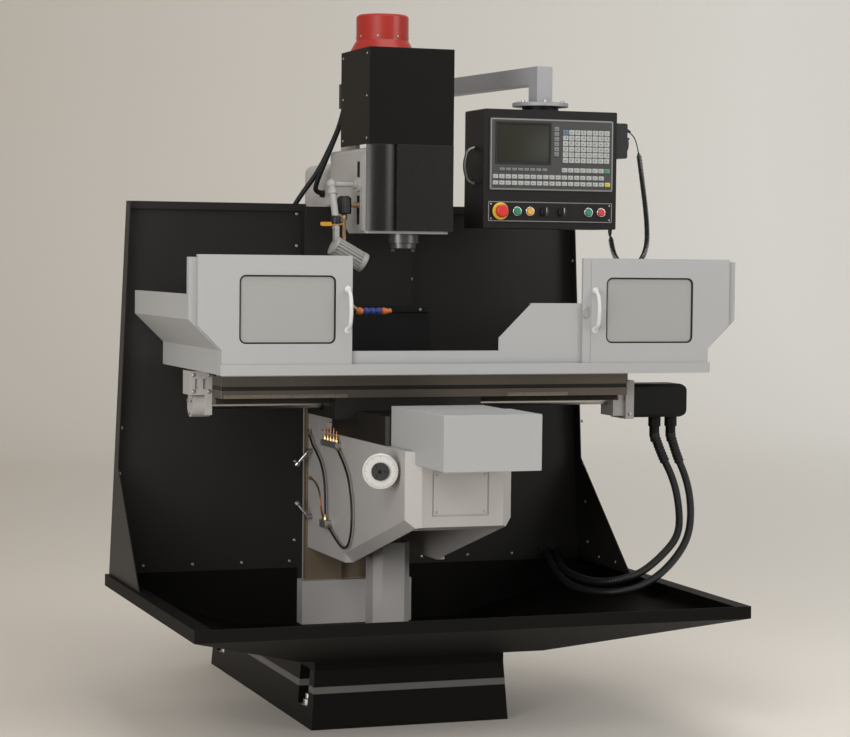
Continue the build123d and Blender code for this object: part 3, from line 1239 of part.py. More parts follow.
def make_cabinet():
    """Sheet box on brackets behind the column, open at the back, with the arm's post on its roof."""
    t = 3.0
    shell = box(CABINET_LEFT, CABINET_RIGHT, CABINET_FRONT, CABINET_BACK, CABINET_BOTTOM, CABINET_TOP)
    shell = shell - box(CABINET_LEFT + t, CABINET_RIGHT - t, CABINET_FRONT + t, CABINET_BACK + EPS,
                        CABINET_BOTTOM + t, CABINET_TOP - t)
    shell = shell + box(CABINET_LEFT, CABINET_LEFT + 24, CABINET_BACK - t, CABINET_BACK, CABINET_BOTTOM,
                        CABINET_TOP)
    shell = shell + box(CABINET_RIGHT - 24, CABINET_RIGHT, CABINET_BACK - t, CABINET_BACK, CABINET_BOTTOM,
                        CABINET_TOP)
    for x in (-120, 120):
        for z in (CABINET_BOTTOM + 120, CABINET_TOP - 160):
            shell = shell + box(x - 30, x + 30, COLUMN_BACK, CABINET_FRONT, z - 30, z + 30)
    x, y = ARM_ROOT
    socket = cyl((x, y, CABINET_TOP - 60), (x, y, POST_FOOT), 60)
    shell = shell + socket
    return shell - cyl((x, y, CABINET_TOP - 70), (x, y, POST_FOOT + EPS), JOURNAL_R + RUN)


nodes["electrical_cabinet"] = make_cabinet()


def make_cabinet_door():
    t = 3.0
    x0 = CABINET_LEFT + 3
    x1 = CABINET_RIGHT - 3
    y0 = CABINET_BACK + GAP
    z0 = CABINET_BOTTOM + 3
    z1 = CABINET_TOP - 3
    door = box(x0, x1, y0, y0 + 16, z0, z1) - box(x0 + t, x1 - t, y0 - EPS, y0 + 16 - t, z0 + t, z1 - t)
    for z in (z0 + 110, z1 - 110):
        px, py = DOOR_PIN
        door = door + cyl((px, py, z - 35), (px, py, z + 35), 7) + box(px, x0 + 6, y0 + 4, y0 + 10,
                                                                       z - 35, z + 35)
    latch_z = (z0 + z1) / 2
    latch = box(x1 - 60, x1 - 32, y0 + 16, y0 + 24, latch_z - 60, latch_z + 60)
    return door + latch


nodes["cabinet_door"] = make_cabinet_door()


def make_control_arm():
    rx, ry = ARM_ROOT
    ex, ey = BOX_PIVOT
    length = hypot(ex - rx, ey - ry)
    frame = Location(Plane(origin=(rx, ry, 0), x_dir=((ex - rx) / length, (ey - ry) / length, 0),
                           z_dir=(0, 0, 1)))
    half = ARM_TUBE / 2
    low = ARM_TOP - ARM_TUBE
    bore = half - ARM_WALL
    outer = box(-half, length + half, -half, half, low, ARM_TOP)
    outer = outer + box(-half, half, -half, half, POST_FOOT + GAP, low)
    outer = outer + box(length - half, length + half, -half, half, ARM_END, low)
    outer = outer - box(-bore, length + bore, -bore, bore, low + ARM_WALL, ARM_TOP - ARM_WALL)
    outer = outer - box(-bore, bore, -bore, bore, POST_FOOT + GAP + 10, low + 2 * ARM_WALL)
    outer = outer - box(length - bore, length + bore, -bore, bore, ARM_END, low + 2 * ARM_WALL)
    arm = frame * outer
    disc = cyl((ex, ey, ARM_END - TURNTABLE_THICK), (ex, ey, ARM_END), TURNTABLE_R)
    disc = disc - cyl((ex, ey, ARM_END - TURNTABLE_THICK - EPS), (ex, ey, ARM_END + EPS), PIN_R + RUN)
    return arm + disc + cyl((rx, ry, CABINET_TOP - 55), (rx, ry, POST_FOOT + GAP + 6), JOURNAL_R)


nodes["control_arm"] = make_control_arm()


# Control box with its unit, buttons, knobs and handwheel


def front_bar(x, r, y0, y1, z=BUTTON_Z):
    return cyl((x, y0, z), (x, y1, z), r)


def make_control_box():
    """Sheet box with the button strip on its front, the swivel pin on top and a side handle."""
    s = SHEET
    back = BOX_FRONT + BOX_DEPTH
    shell = box(BOX_LEFT, BOX_RIGHT, BOX_FRONT, back, BOX_BOTTOM, BOX_TOP)
    shell = fillet(shell.edges().filter_by(Axis.Y), 5)
    shell = shell - box(BOX_LEFT + s, BOX_RIGHT - s, BOX_FRONT + s, back - s, BOX_BOTTOM + s, BOX_TOP - s)
    half = UNIT_WIDTH / 2
    shell = shell - box(UNIT_X - half + 14, UNIT_X + half - 14, BOX_FRONT - EPS, BOX_FRONT + s + EPS,
                        UNIT_BOTTOM + 14, UNIT_BOTTOM + UNIT_HEIGHT - 14)
    strip = box(UNIT_X - half - 4, UNIT_X + half - 1, STRIP_FACE, BOX_FRONT, STRIP_BOTTOM,
                STRIP_BOTTOM + STRIP_HEIGHT)
    shell = shell + strip
    for x in BUTTON_X.values():
        shell = shell + front_bar(x, BEZEL_R, BEZEL_FACE, STRIP_FACE)
        shell = shell - front_bar(x, BUTTON_R + RUN, BEZEL_FACE - EPS, BOX_FRONT + s + EPS)
    for x in KNOB_X.values():
        shell = shell - front_bar(x, KNOB_SHAFT_R + RUN, STRIP_FACE - EPS, BOX_FRONT + s + EPS)
    shell = shell + front_bar(ESTOP_X, ESTOP_R + 7, STRIP_FACE - 3, STRIP_FACE)
    shell = shell - front_bar(ESTOP_X, BUTTON_R + RUN, STRIP_FACE - 4, BOX_FRONT + s + EPS)
    px, py = BOX_PIVOT
    shell = shell + cyl((px, py, BOX_TOP - s), (px, py, ARM_END - TURNTABLE_THICK - GAP), 60)
    shell = shell + cyl((px, py, BOX_TOP), (px, py, ARM_END), PIN_R)
    grip = [(BOX_LEFT + 1, -26, 1846), (BOX_LEFT - 24, -26, 1836), (BOX_LEFT - 36, -26, 1788),
            (BOX_LEFT - 24, -26, 1740), (BOX_LEFT + 1, -26, 1730)]
    return shell + tube(grip, 6)[0]


nodes["control_box"] = make_control_box()


def key_field(x0, x1, z0, z1, columns, rows, share):
    """Blocks for a field of keys; share is the part of the pitch that a key fills."""
    pitch_x = (x1 - x0) / columns
    pitch_z = (z1 - z0) / rows
    wide = pitch_x * share
    high = pitch_z * share
    face = BOX_FRONT - 5
    keys = []
    for i in range(columns):
        for j in range(rows):
            x = x0 + pitch_x * (i + 0.5)
            z = z0 + pitch_z * (j + 0.5)
            keys.append(box(x - wide / 2, x + wide / 2, face - 2, face + 1, z - high / 2, z + high / 2))
    return keys


def make_cnc_unit():
    half = UNIT_WIDTH / 2
    top = UNIT_BOTTOM + UNIT_HEIGHT
    face = BOX_FRONT - 5
    unit = box(UNIT_X - half, UNIT_X + half, face, BOX_FRONT, UNIT_BOTTOM, top)
    unit = chamfer(unit.faces().sort_by(Axis.Y)[0].edges(), 2)
    unit = unit + box(UNIT_X - half + 15, UNIT_X + half - 15, BOX_FRONT, BOX_FRONT + 70, UNIT_BOTTOM + 15,
                      top - 15)
    screen_left = UNIT_X - half + 18
    unit = unit - box(screen_left, screen_left + 196, face - EPS, face + 3, top - 150, top - 12)
    keys = key_field(501, 520, 1819, 1917, 1, 6, 0.82)
    keys = keys + key_field(532, 699, 1799, 1908, 8, 6, 0.84)
    keys = keys + key_field(311, 480, 1770, 1781, 8, 1, 0.75)
    keys = keys + key_field(529, 701, 1768, 1784, 8, 1, 0.85)
    keys = keys + key_field(288, 681, 1747, 1757, 18, 1, 0.8)
    keys = keys + key_field(288, 704, 1726, 1737, 19, 1, 0.8)
    return unit + keys


nodes["cnc_unit"] = make_cnc_unit()


def make_button(x):
    inside = BOX_FRONT + SHEET + GAP
    cap = front_bar(x, BUTTON_R, BEZEL_FACE - 6, inside + 3)
    cap = chamfer(cap.edges().group_by(Axis.Y)[0], 1)
    return cap + front_bar(x, BUTTON_R + 3, inside, inside + 3)


for name, x in BUTTON_X.items():
    nodes["button_" + name] = make_button(x)


def make_estop():
    inside = BOX_FRONT + SHEET + GAP
    face = STRIP_FACE - 3
    head = front_bar(ESTOP_X, ESTOP_R, face - 24, face - 8)
    head = fillet(head.edges().group_by(Axis.Y)[0], 7)
    stem = front_bar(ESTOP_X, BUTTON_R, face - 10, inside + 3) + front_bar(ESTOP_X, BUTTON_R + 3, inside,
                                                                           inside + 3)
    return head + stem


nodes["estop"] = make_estop()


def make_knob(x):
    base = STRIP_FACE - GAP
    knob = front_bar(x, 14, base - 8, base)
    knob = knob + box(x - 3.5, x + 3.5, base - 20, base - 7, BUTTON_Z - 14, BUTTON_Z + 14)
    inside = BOX_FRONT + SHEET + GAP
    return knob + front_bar(x, KNOB_SHAFT_R, base, inside + 2) + front_bar(x, KNOB_SHAFT_R + 3, inside,
                                                                           inside + 2)


for name, x in KNOB_X.items():
    nodes["knob_" + name] = make_knob(x)


def make_handwheel_unit():
    x1 = WHEEL_UNIT[1]
    unit = box(*WHEEL_UNIT)
    unit = fillet(unit.edges().filter_by(Axis.Y), 6)
    unit = unit + cyl((x1 - 1, WHEEL_Y, 1917), (x1 + 6, WHEEL_Y, 1917), 7)
    return unit - cyl((x1 - 20, WHEEL_Y, WHEEL_Z), (x1 + EPS, WHEEL_Y, WHEEL_Z), WHEEL_SHAFT_R + RUN)


nodes["handwheel_unit"] = make_handwheel_unit()


def make_pulse_wheel():
    x1 = WHEEL_UNIT[1] + GAP
    wheel = cyl((x1, WHEEL_Y, WHEEL_Z), (x1 + 10, WHEEL_Y, WHEEL_Z), 28)
    wheel = chamfer(wheel.edges(), 1.5)
    grip = cyl((x1 + 9, WHEEL_Y, WHEEL_Z + 19), (x1 + 22, WHEEL_Y, WHEEL_Z + 19), 4)
    shaft = cyl((x1 - 16, WHEEL_Y, WHEEL_Z), (x1 + 1, WHEEL_Y, WHEEL_Z), WHEEL_SHAFT_R)
    return wheel + grip + shaft


nodes["hand_pulse_wheel"] = make_pulse_wheel()


def make_curly_cord():
    """The outside of the coiled cord, as one tube from the handwheel unit to the box's underside."""
    start_x = WHEEL_UNIT[1] + 6
    route = [(start_x, WHEEL_Y, 1917), (start_x + 30, WHEEL_Y - 4, 1904), (start_x + 44, WHEEL_Y - 14,
                                                                           1854),
             (start_x + 54, WHEEL_Y - 26, 1752), (start_x + 70, WHEEL_Y - 34, 1620), (start_x + 72,
                                                                                      WHEEL_Y - 36, 1520),
             (start_x + 30, WHEEL_Y - 36, 1458), (start_x - 26, WHEEL_Y - 34, 1470), (start_x - 56,
                                                                                      WHEEL_Y - 32, 1520),
             (start_x - 61, WHEEL_Y - 30, BOX_BOTTOM)]
    cord, radii = tube(route, CORD_R)
    print("curly cord arcs, mm:", [round(r) for r in radii])
    cord = cord - box(start_x - 20, start_x, WHEEL_Y - 20, WHEEL_Y + 20, 1890, 1940)
    return cord - box(start_x - 90, start_x - 20, WHEEL_Y - 60, WHEEL_Y, BOX_BOTTOM, BOX_BOTTOM + 20)


nodes["curly_cord"] = make_curly_cord()


os.makedirs("parts", exist_ok=True)
for name, shape in nodes.items():
    export_step(shape, f"parts/{name}.step")
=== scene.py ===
import bmesh
import bpy
import numpy as np
from mathutils import Matrix


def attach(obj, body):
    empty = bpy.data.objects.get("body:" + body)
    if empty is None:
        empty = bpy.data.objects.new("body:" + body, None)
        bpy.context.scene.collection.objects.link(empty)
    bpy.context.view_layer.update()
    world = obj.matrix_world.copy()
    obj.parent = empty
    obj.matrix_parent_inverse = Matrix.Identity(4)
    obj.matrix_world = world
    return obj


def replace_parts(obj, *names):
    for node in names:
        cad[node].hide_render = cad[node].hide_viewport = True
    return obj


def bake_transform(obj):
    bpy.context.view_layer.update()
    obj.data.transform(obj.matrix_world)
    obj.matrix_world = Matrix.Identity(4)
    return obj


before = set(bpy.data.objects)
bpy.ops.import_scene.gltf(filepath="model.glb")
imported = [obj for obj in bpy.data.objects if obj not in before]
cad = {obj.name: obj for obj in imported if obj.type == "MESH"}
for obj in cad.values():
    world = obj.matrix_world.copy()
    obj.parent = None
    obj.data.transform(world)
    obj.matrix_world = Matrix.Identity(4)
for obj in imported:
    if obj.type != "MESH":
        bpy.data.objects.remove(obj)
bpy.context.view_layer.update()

# Room and camera. The machine stands on a pale studio floor that runs up into a warm wall.
# The camera is a long lens at chest height, a little to the left of the machine's front.

CAMERA_PLACE = (-2.4427, -7.2009, 1.4860)
CAMERA_TURN = (19.5, -2.7, 0.6)  # yaw, pitch and roll in degrees
FLOOR_FRONT, WALL_FOOT, WALL_Y, WALL_TOP, ROOM_HALF = -16.0, 9.0, 12.0, 16.0, 22.0


def stand(x_axis, y_axis, z_axis, where):
    """The matrix that stands an object at a place, along three axes."""
    return Matrix(np.column_stack([x_axis, y_axis, z_axis, where]).tolist() + [[0, 0, 0, 1]])


def unit(vector):
    """The vector at a length of one."""
    return np.asarray(vector, float) / np.linalg.norm(vector)


scene = bpy.context.scene
yaw, pitch, roll = np.radians(CAMERA_TURN)
ahead = np.array([np.sin(yaw) * np.cos(pitch), np.cos(yaw) * np.cos(pitch), np.sin(pitch)])
right = np.array([np.cos(yaw), -np.sin(yaw), 0.0])
up = np.cross(right, ahead)
lens = bpy.data.cameras.new("studio_camera")
lens.lens = 99.34
lens.sensor_width = 36.0
lens.clip_end = 60.0
camera = bpy.data.objects.new("studio_camera", lens)
camera.matrix_world = stand(np.cos(roll) * right + np.sin(roll) * up,
                            np.cos(roll) * up - np.sin(roll) * right, -ahead, CAMERA_PLACE)
scene.collection.objects.link(camera)
scene.camera = camera
scene.view_settings.view_transform = "Standard"


def add_mesh(name, shape, material, smooth=True, solid=True):
    """Puts points and faces into a new object at the origin, with the faces turned outwards."""
    verts, faces = shape
    mesh = bpy.data.meshes.new(name)
    mesh.from_pydata(np.asarray(verts, float).tolist(), [], [list(map(int, face)) for face in faces])
    mesh.validate()
    if solid:
        work = bmesh.new()
        work.from_mesh(mesh)
        bmesh.ops.recalc_face_normals(work, faces=work.faces)
        work.to_mesh(mesh)
        work.free()
    if smooth:
        mesh.shade_smooth()
        mesh.set_sharp_from_angle(angle=np.radians(38))
    obj = bpy.data.objects.new(name, mesh)
    scene.collection.objects.link(obj)
    mesh.materials.append(material)
    return obj


def loft(rings, closed=False):
    """Skins a stack of rings of points with quads; the end rings are capped, or joined when closed."""
    rings = np.asarray(rings, float)
    rows, cols = rings.shape[:2]
    i = np.arange(rows if closed else rows - 1)[:, None]
    j = np.arange(cols)[None, :]
    k = (j + 1) % cols
    n = (i + 1) % rows
    quads = np.stack([i * cols + j, i * cols + k, n * cols + k, n * cols + j], -1)
    faces = quads.reshape(-1, 4).tolist()
    if not closed:
        faces.append(list(range(cols))[::-1])
        faces.append(list(range((rows - 1) * cols, rows * cols)))
    return rings.reshape(-1, 3), faces


def shader(name):
    """A new node material with its tree, its shader and the object coordinates split in three."""
    material = bpy.data.materials.new(name)
    material.use_nodes = True
    tree = material.node_tree
    coords = tree.nodes.new("ShaderNodeTexCoord")
    split = tree.nodes.new("ShaderNodeSeparateXYZ")
    tree.links.new(coords.outputs["Object"], split.inputs[0])
    return material, tree, tree.nodes["Principled BSDF"], coords, split


def feed(tree, value, socket):
    """Links a socket to another one's value, or sets it to a number or colour."""
    if hasattr(value, "is_linked"):
        tree.links.new(value, socket)
    else:
        socket.default_value = value


def blend_colour(tree, factor, first, second):
    """A colour mixed from two sockets or colours by a factor socket."""
    mix = tree.nodes.new("ShaderNodeMix")
    mix.data_type = "RGBA"
    for name, value in (("Factor", factor), ("A", first), ("B", second)):
        feed(tree, value,
             [s for s in mix.inputs if s.name == name and (name == "Factor" or s.type == "RGBA")][0])
    return [s for s in mix.outputs if s.type == "RGBA"][0]


def math(tree, operation, *values, kind="ShaderNodeMath", result=0):
    """One arithmetic node on sockets or numbers."""
    node = tree.nodes.new(kind)
    node.operation = operation
    for socket, value in zip(node.inputs, values):
        feed(tree, value, socket)
    return node.outputs[result]


def vector_math(tree, operation, *values, result=0):
    """One arithmetic node on vectors; result 1 is its number, such as a length or a dot product."""
    return math(tree, operation, *values, kind="ShaderNodeVectorMath", result=result)


# The floor and wall are one sheet: flat, then a quarter circle, then upright. Its colour grows lighter to the
# right as painted light, and it glows a little where the camera or a reflection sees it, more so to the
# right.
turn = np.linspace(0, np.pi / 2, 24)
bend = np.stack([WALL_FOOT + 3.0 * np.sin(turn), 3.0 - 3.0 * np.cos(turn)], 1)
profile = np.concatenate([[[FLOOR_FRONT, 0.0]], bend, [[WALL_Y, WALL_TOP]]])
room_points = np.stack([np.column_stack([np.full(len(profile), x), profile])
                        for x in (-ROOM_HALF, ROOM_HALF)], 1)
room_faces = [[2 * i, 2 * i + 1, 2 * i + 3, 2 * i + 2] for i in range(len(profile) - 1)]
studio, tree, bsdf, coords, split = shader("studio_paint")
bsdf.inputs["Roughness"].default_value = 0.85
glow = tree.nodes.new("ShaderNodeMapRange")
glow.inputs["From Min"].default_value = -1.5
glow.inputs["From Max"].default_value = 7.5
tree.links.new(split.outputs["X"], glow.inputs["Value"])
rightward = glow.outputs["Result"]
wash = blend_colour(tree, rightward, (0.67, 0.61, 0.535, 1), (0.90, 0.885, 0.84, 1))
rays = tree.nodes.new("ShaderNodeLightPath").outputs
seen = math(tree, "MAXIMUM", rays["Is Camera Ray"], rays["Is Glossy Ray"])
shine = math(tree, "MULTIPLY", seen, math(tree, "MULTIPLY_ADD", rightward, 0.16, 0.05))
for name, value in (("Base Color", wash), ("Emission Color", wash), ("Emission Strength", shine)):
    tree.links.new(value, bsdf.inputs[name])
room = add_mesh("studio_room", (room_points.reshape(-1, 3), room_faces), studio, solid=False)

world = bpy.data.worlds.new("studio_light")
scene.world = world
world.use_nodes = True
sky = world.node_tree.nodes["Background"]
sky.inputs[0].default_value = (1.0, 0.985, 0.965, 1)
sky.inputs[1].default_value = 0.42
# Each light's name, place, size, power and the point it faces.
LIGHTS = (("key", (-4.6, -6.2, 4.6), 3.2, 180, (0, 0, 1.0)),
          ("fill", (4.8, -4.8, 3.0), 3.0, 115, (0.2, 0, 1.1)),
          ("low", (-5.2, -4.2, 1.0), 2.6, 185, (0, 0, 0.7)),
          ("top", (0.5, -1.5, 5.4), 3.4, 95, (0, 0, 1.0)))
for name, where, size, power, aim in LIGHTS:
    light = bpy.data.lights.new(name, "AREA")
    light.size = size
    light.energy = power
    lamp = bpy.data.objects.new(name, light)
    back = unit(np.array(where) - np.array(aim))
    side = unit(np.cross((0, 0, 1), back))
    lamp.matrix_world = stand(side, np.cross(back, side), back, where)
    scene.collection.objects.link(lamp)


# Base casting: cast iron, painted satin black, with a grey line run along its sides.
# Four pockets at its corners hold the foundation bolts.

def noise(tree, coords, scale, detail=4.0, stretch=None):
    """Cloudy noise in object coordinates, stretched along one axis for a directional finish."""
    node = tree.nodes.new("ShaderNodeTexNoise")
    node.inputs["Scale"].default_value = scale
    node.inputs["Detail"].default_value = detail
    where = coords.outputs["Object"]
    if stretch:
        mapping = tree.nodes.new("ShaderNodeMapping")
        mapping.inputs["Scale"].default_value = stretch
        tree.links.new(where, mapping.inputs["Vector"])
        where = mapping.outputs[0]
    tree.links.new(where, node.inputs["Vector"])
    return node.outputs["Fac"]


def inside(tree, socket, low, high):
    """1 where a coordinate lies between two values, else 0."""
    return math(tree, "MULTIPLY", math(tree, "GREATER_THAN", socket, low),
                math(tree, "LESS_THAN", socket, high))


def block(tree, split, x=None, y=None, z=None):
    """1 inside a box given by ranges of X, Y and Z, else 0; a range left out doesn't bound it."""
    mask = 1.0
    for axis, span in zip("XYZ", (x, y, z)):
        if span:
            mask = math(tree, "MULTIPLY", inside(tree, split.outputs[axis], *span), mask)
    return mask


def coat(name, colour, rough, mottle=0.07, patch=4.0, grain=0.12, grain_scale=420.0, metal=0.0, stretch=None,
         areas=(), gloss=0.0, specular=0.5, edge=0.0014, edge_wear_and_highlight=None):
    """Paint or metal: a slowly varying colour and roughness over a fine bump, with soft edges.
    Each area is (mask maker, colour, roughness, metal) and lies over what comes before it.
    edge_wear_and_highlight is the colour an edge takes where handling has rubbed it, lightened further as a
    painted highlight where light catches the edge."""
    material, tree, bsdf, coords, split = shader(name)
    cloud = noise(tree, coords, patch, 5.0)

    def mottled(base):
        dark, light = [tuple(min(1.0, c * (1 + by)) for c in base) + (1,) for by in (-mottle, mottle)]
        return blend_colour(tree, cloud, dark, light)

    tone = mottled(colour)
    fine = noise(tree, coords, grain_scale, 3.0, stretch)
    roughness = math(tree, "MULTIPLY_ADD", fine, 0.16, rough - 0.08)
    metallic = metal
    for mask_maker, area_colour, area_rough, area_metal in areas:
        mask = mask_maker(tree, coords, split)
        tone = blend_colour(tree, mask, tone, mottled(area_colour))
        roughness = math(tree, "MULTIPLY_ADD", mask, math(tree, "SUBTRACT", area_rough, roughness), roughness)
        if area_metal != metallic:
            metallic = math(tree, "MULTIPLY_ADD", mask, math(tree, "SUBTRACT", area_metal, metallic),
                            metallic)
    rounded = tree.nodes.new("ShaderNodeBevel")
    rounded.samples = 4
    rounded.inputs["Radius"].default_value = edge
    # Edges are lightened partly as rubbed wear and partly as a painted highlight.
    if edge_wear_and_highlight:
        flat = tree.nodes.new("ShaderNodeNewGeometry").outputs["Normal"]
        turned_by = vector_math(tree, "DOT_PRODUCT", rounded.outputs[0], flat, result=1)
        rub_and_highlight = math(tree, "MULTIPLY", math(tree, "SUBTRACT", 1.0, turned_by), 5.0)
        rub_and_highlight = math(tree, "MULTIPLY", rub_and_highlight, math(tree, "MULTIPLY", noise(tree, coords, 22.0, 6.0), 1.2))
        rub_and_highlight = math(tree, "MINIMUM", rub_and_highlight, 0.8)
        tone = blend_colour(tree, rub_and_highlight, tone, edge_wear_and_highlight + (1,))
    tree.links.new(tone, bsdf.inputs["Base Color"])
    tree.links.new(roughness, bsdf.inputs["Roughness"])
    feed(tree, metallic, bsdf.inputs["Metallic"])
    bsdf.inputs["Coat Weight"].default_value = gloss
    bsdf.inputs["Specular IOR Level"].default_value = specular
    bump = tree.nodes.new("ShaderNodeBump")
    bump.inputs["Strength"].default_value = grain
    bump.inputs["Distance"].default_value = 0.0006
    tree.links.new(fine, bump.inputs["Height"])
    tree.links.new(rounded.outputs[0], bump.inputs["Normal"])
    tree.links.new(bump.outputs[0], bsdf.inputs["Normal"])
    return material


def dress(material, *names):
    """Gives CAD nodes a material."""
    for name in names:
        cad[name].data.materials.clear()
        cad[name].data.materials.append(material)


def base_line(tree, coords, split):
    return inside(tree, split.outputs["Z"], 0.113, 0.134)


base_paint = coat("base_black_paint", (0.0052, 0.0047, 0.0038), 0.5, 0.3, 3.0, 0.35, 260.0, specular=0.12,
                  areas=[(base_line, (0.150, 0.142, 0.135), 0.5, 0.0)], edge_wear_and_highlight=(0.035, 0.033, 0.031))
dress(base_paint, "base")


def turned(profile, foot, direction, sides=24, lobes=0, depth=0.0):
    """A turned shape: the circle of each (distance along the axis, radius) row, joined in order.
    With lobes, each radius swells and shrinks by a share of itself as often round the circle."""
    profile = np.asarray(profile, float)
    axis = unit(direction)
    a = unit(np.cross((0, 0, 1) if abs(axis[2]) < 0.9 else (1, 0, 0), axis))
    b = np.cross(axis, a)
    angle = np.linspace(0, 2 * np.pi, sides, endpoint=False)
    swell = 1 + depth * np.cos(lobes * angle)
    spoke = swell[:, None] * (np.cos(angle)[:, None] * a + np.sin(angle)[:, None] * b)
    return loft(np.asarray(foot, float) + profile[:, :1, None] * axis + profile[:, 1:, None] * spoke)


def gather(shapes):
    """Several (points, faces) shapes as one."""
    points, faces, start = [], [], 0
    for shape_points, shape_faces in shapes:
        points.append(np.asarray(shape_points, float))
        faces.extend([[i + start for i in face] for face in shape_faces])
        start += len(shape_points)
    return np.concatenate(points), faces


def ride(obj, body):
    """Carries a piece on a body."""
    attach(obj, body)
    return obj


def piece(name, shapes, material, body, smooth=True):
    """Several shapes as one object that rides on a body."""
    return ride(add_mesh(name, gather(shapes), material, smooth), body)


def bolt(foot, direction, size, flat=1.0):
    """A hexagon bolt head on a washer; size is the washer's radius."""
    washer, head = size * 0.18, size * 0.6 * flat
    return [turned([(0, size), (washer, size), (washer, size * 0.9)], foot, direction, 24),
            turned([(washer, size * 0.76), (washer + head, size * 0.76), (size * 0.26 + head, size * 0.64)],
                   foot, direction, 6)]


bolt_steel = coat("bolt_steel", (0.42, 0.41, 0.39), 0.42, 0.15, 60.0, 0.1, 900.0, 1.0, edge=0.0004)
bolt_shapes = []
for x in (-0.307, 0.307):
    for y in (-0.0905, 0.9515):
        bolt_shapes += bolt((x, y, 0.0621), (0, 0, 1), 0.022)
        bolt_shapes.append(turned([(0.018, 0.0095), (0.034, 0.0095), (0.036, 0.008)], (x, y, 0.0621),
                                  (0, 0, 1), 18))
piece("foundation_bolts", bolt_shapes, bolt_steel, "column")

# Column: a tall cast box in warm grey enamel. The two scraped ways on its front are bare iron,
# browned by oil, and a folded black sheet covers them above the knee's travel.

GREY_ENAMEL = (0.392, 0.372, 0.356)


def way_faces(tree, coords, split):
    return block(tree, split, (-0.1772, 0.1772), (0.3, 0.4185), (0.3905, 1.122))


column_paint = coat("column_enamel", GREY_ENAMEL, 0.42, 0.07, 3.0, 0.14, 500.0, specular=0.4,
                    areas=[(way_faces, (0.20, 0.150, 0.100), 0.45, 0.4)])
grey_paint = coat("grey_enamel", GREY_ENAMEL, 0.40, 0.07, 3.0, 0.14, 500.0, specular=0.45,
                  edge_wear_and_highlight=(0.36, 0.34, 0.32))
dress(column_paint, "column")
dress(grey_paint, "screw_pedestal", "knee", "overarm", "screw_brackets")
COVER_OUTLINE = np.array([(-0.190, 0.4295), (-0.190, 0.3845), (0.190, 0.3845), (0.190, 0.4295),
                          (0.188, 0.4295), (0.188, 0.3865), (-0.188, 0.3865), (-0.188, 0.4295)])
cover_rings = np.stack([np.column_stack([COVER_OUTLINE, np.full(8, z)]) for z in (1.3185, 1.6550)])

# Drip tray and back panels: folded steel sheet with a fine satin black powder coat.
# Bright pan-head screws hold the panels to the column, to the tray and to their wings.

# The panels' black is painted lighter and the tray's darker: lit and shaded copies of one powder coat.
sheet_paint = coat("black_powder_coat", (0.0130, 0.0118, 0.0102), 0.46, 0.25, 1.6, 0.35, 900.0, specular=0.3,
                   edge_wear_and_highlight=(0.05, 0.047, 0.043))
dress(sheet_paint, "back_panel_left", "back_panel_right")
tray_paint = coat("tray_powder_coat", (0.0052, 0.0045, 0.0037), 0.55, 0.3, 1.6, 0.35, 900.0, specular=0.08,
                  edge_wear_and_highlight=(0.045, 0.042, 0.038))
dress(tray_paint, "drip_tray")
piece("way_cover", [loft(cover_rings)], sheet_paint, "column", smooth=False)
SCREW_HEAD = [(0, 0.0058), (0.0008, 0.0058), (0.0024, 0.0048), (0.0031, 0.0028), (0.0026, 0.0018),
              (0.0012, 0.0010)]
SMALL = 0.72  # a small screw's size, as a share of a full one


def screws(name, places, body, size=1.0, sides=14):
    """Pan-head screws at their (foot, direction) places, as one piece."""
    head = np.array(SCREW_HEAD) * size
    piece(name, [turned(head, foot, direction, sides) for foot, direction in places], bolt_steel, body)


screw_places = [((x, 0.4301, 0.452), (0, -1, 0))
                for x in (-0.728, -0.560, -0.390, -0.222, 0.423, 0.590, 0.748, 0.253)]
for x, heights in ((-0.206, (0.792, 0.523, 1.060, 1.250, 1.400, 1.522, 1.630)),
                   (0.206, (0.792, 0.523, 1.060, 1.250, 1.413, 1.540, 1.630))):
    screw_places += [((x, 0.4301, z), (0, -1, 0)) for z in heights]
WING_FOOT, WING_TOP = (0.844, 0.392), (0.790, 1.664)
lean = np.arctan2(WING_FOOT[0] - WING_TOP[0], WING_TOP[1] - WING_FOOT[1])
for side in (-1, 1):
    for y, z in ((0.352, 0.770), (0.340, 0.637), (0.330, 0.497), (0.235, 0.455), (0.095, 0.455),
                 (0.352, 0.92), (0.400, 1.08), (0.400, 1.28), (0.400, 1.48), (0.400, 1.63)):
        x = side * (WING_FOOT[0] - (z - WING_FOOT[1]) * np.tan(lean) - 0.0031)
        screw_places.append(((x, y, z), (-side * np.cos(lean), 0, -np.sin(lean))))
screws("panel_screws", screw_places, "column")

# Way curtain: a strip of black rubber under a clamping bar, over the upper part of the ways.

rubber = coat("black_rubber", (0.0085, 0.0082, 0.0080), 0.62, 0.2, 20.0, 0.3, 1400.0, specular=0.25)
dress(rubber, "way_curtain", "drive_belt")
screws("curtain_screws", [((x, 0.374, 1.309), (0, -1, 0)) for x in (-0.22, -0.11, 0.0, 0.11, 0.22)],
       "column")

# Head casting and its black sheet covers over the belt drive. The insides of two slots in the casting's left
# side are painted dark as shade.


def head_slot_shade(tree, coords, split):
    # Painted shade: the slots' insides and walls are coloured near black.
    low = block(tree, split, (-0.1495, -0.1345), (-0.1082, -0.0578), (1.5898, 1.6822))
    high = block(tree, split, (-0.1495, -0.1345), (-0.1082, -0.0578), (1.7018, 1.7902))
    return math(tree, "MAXIMUM", low, high)


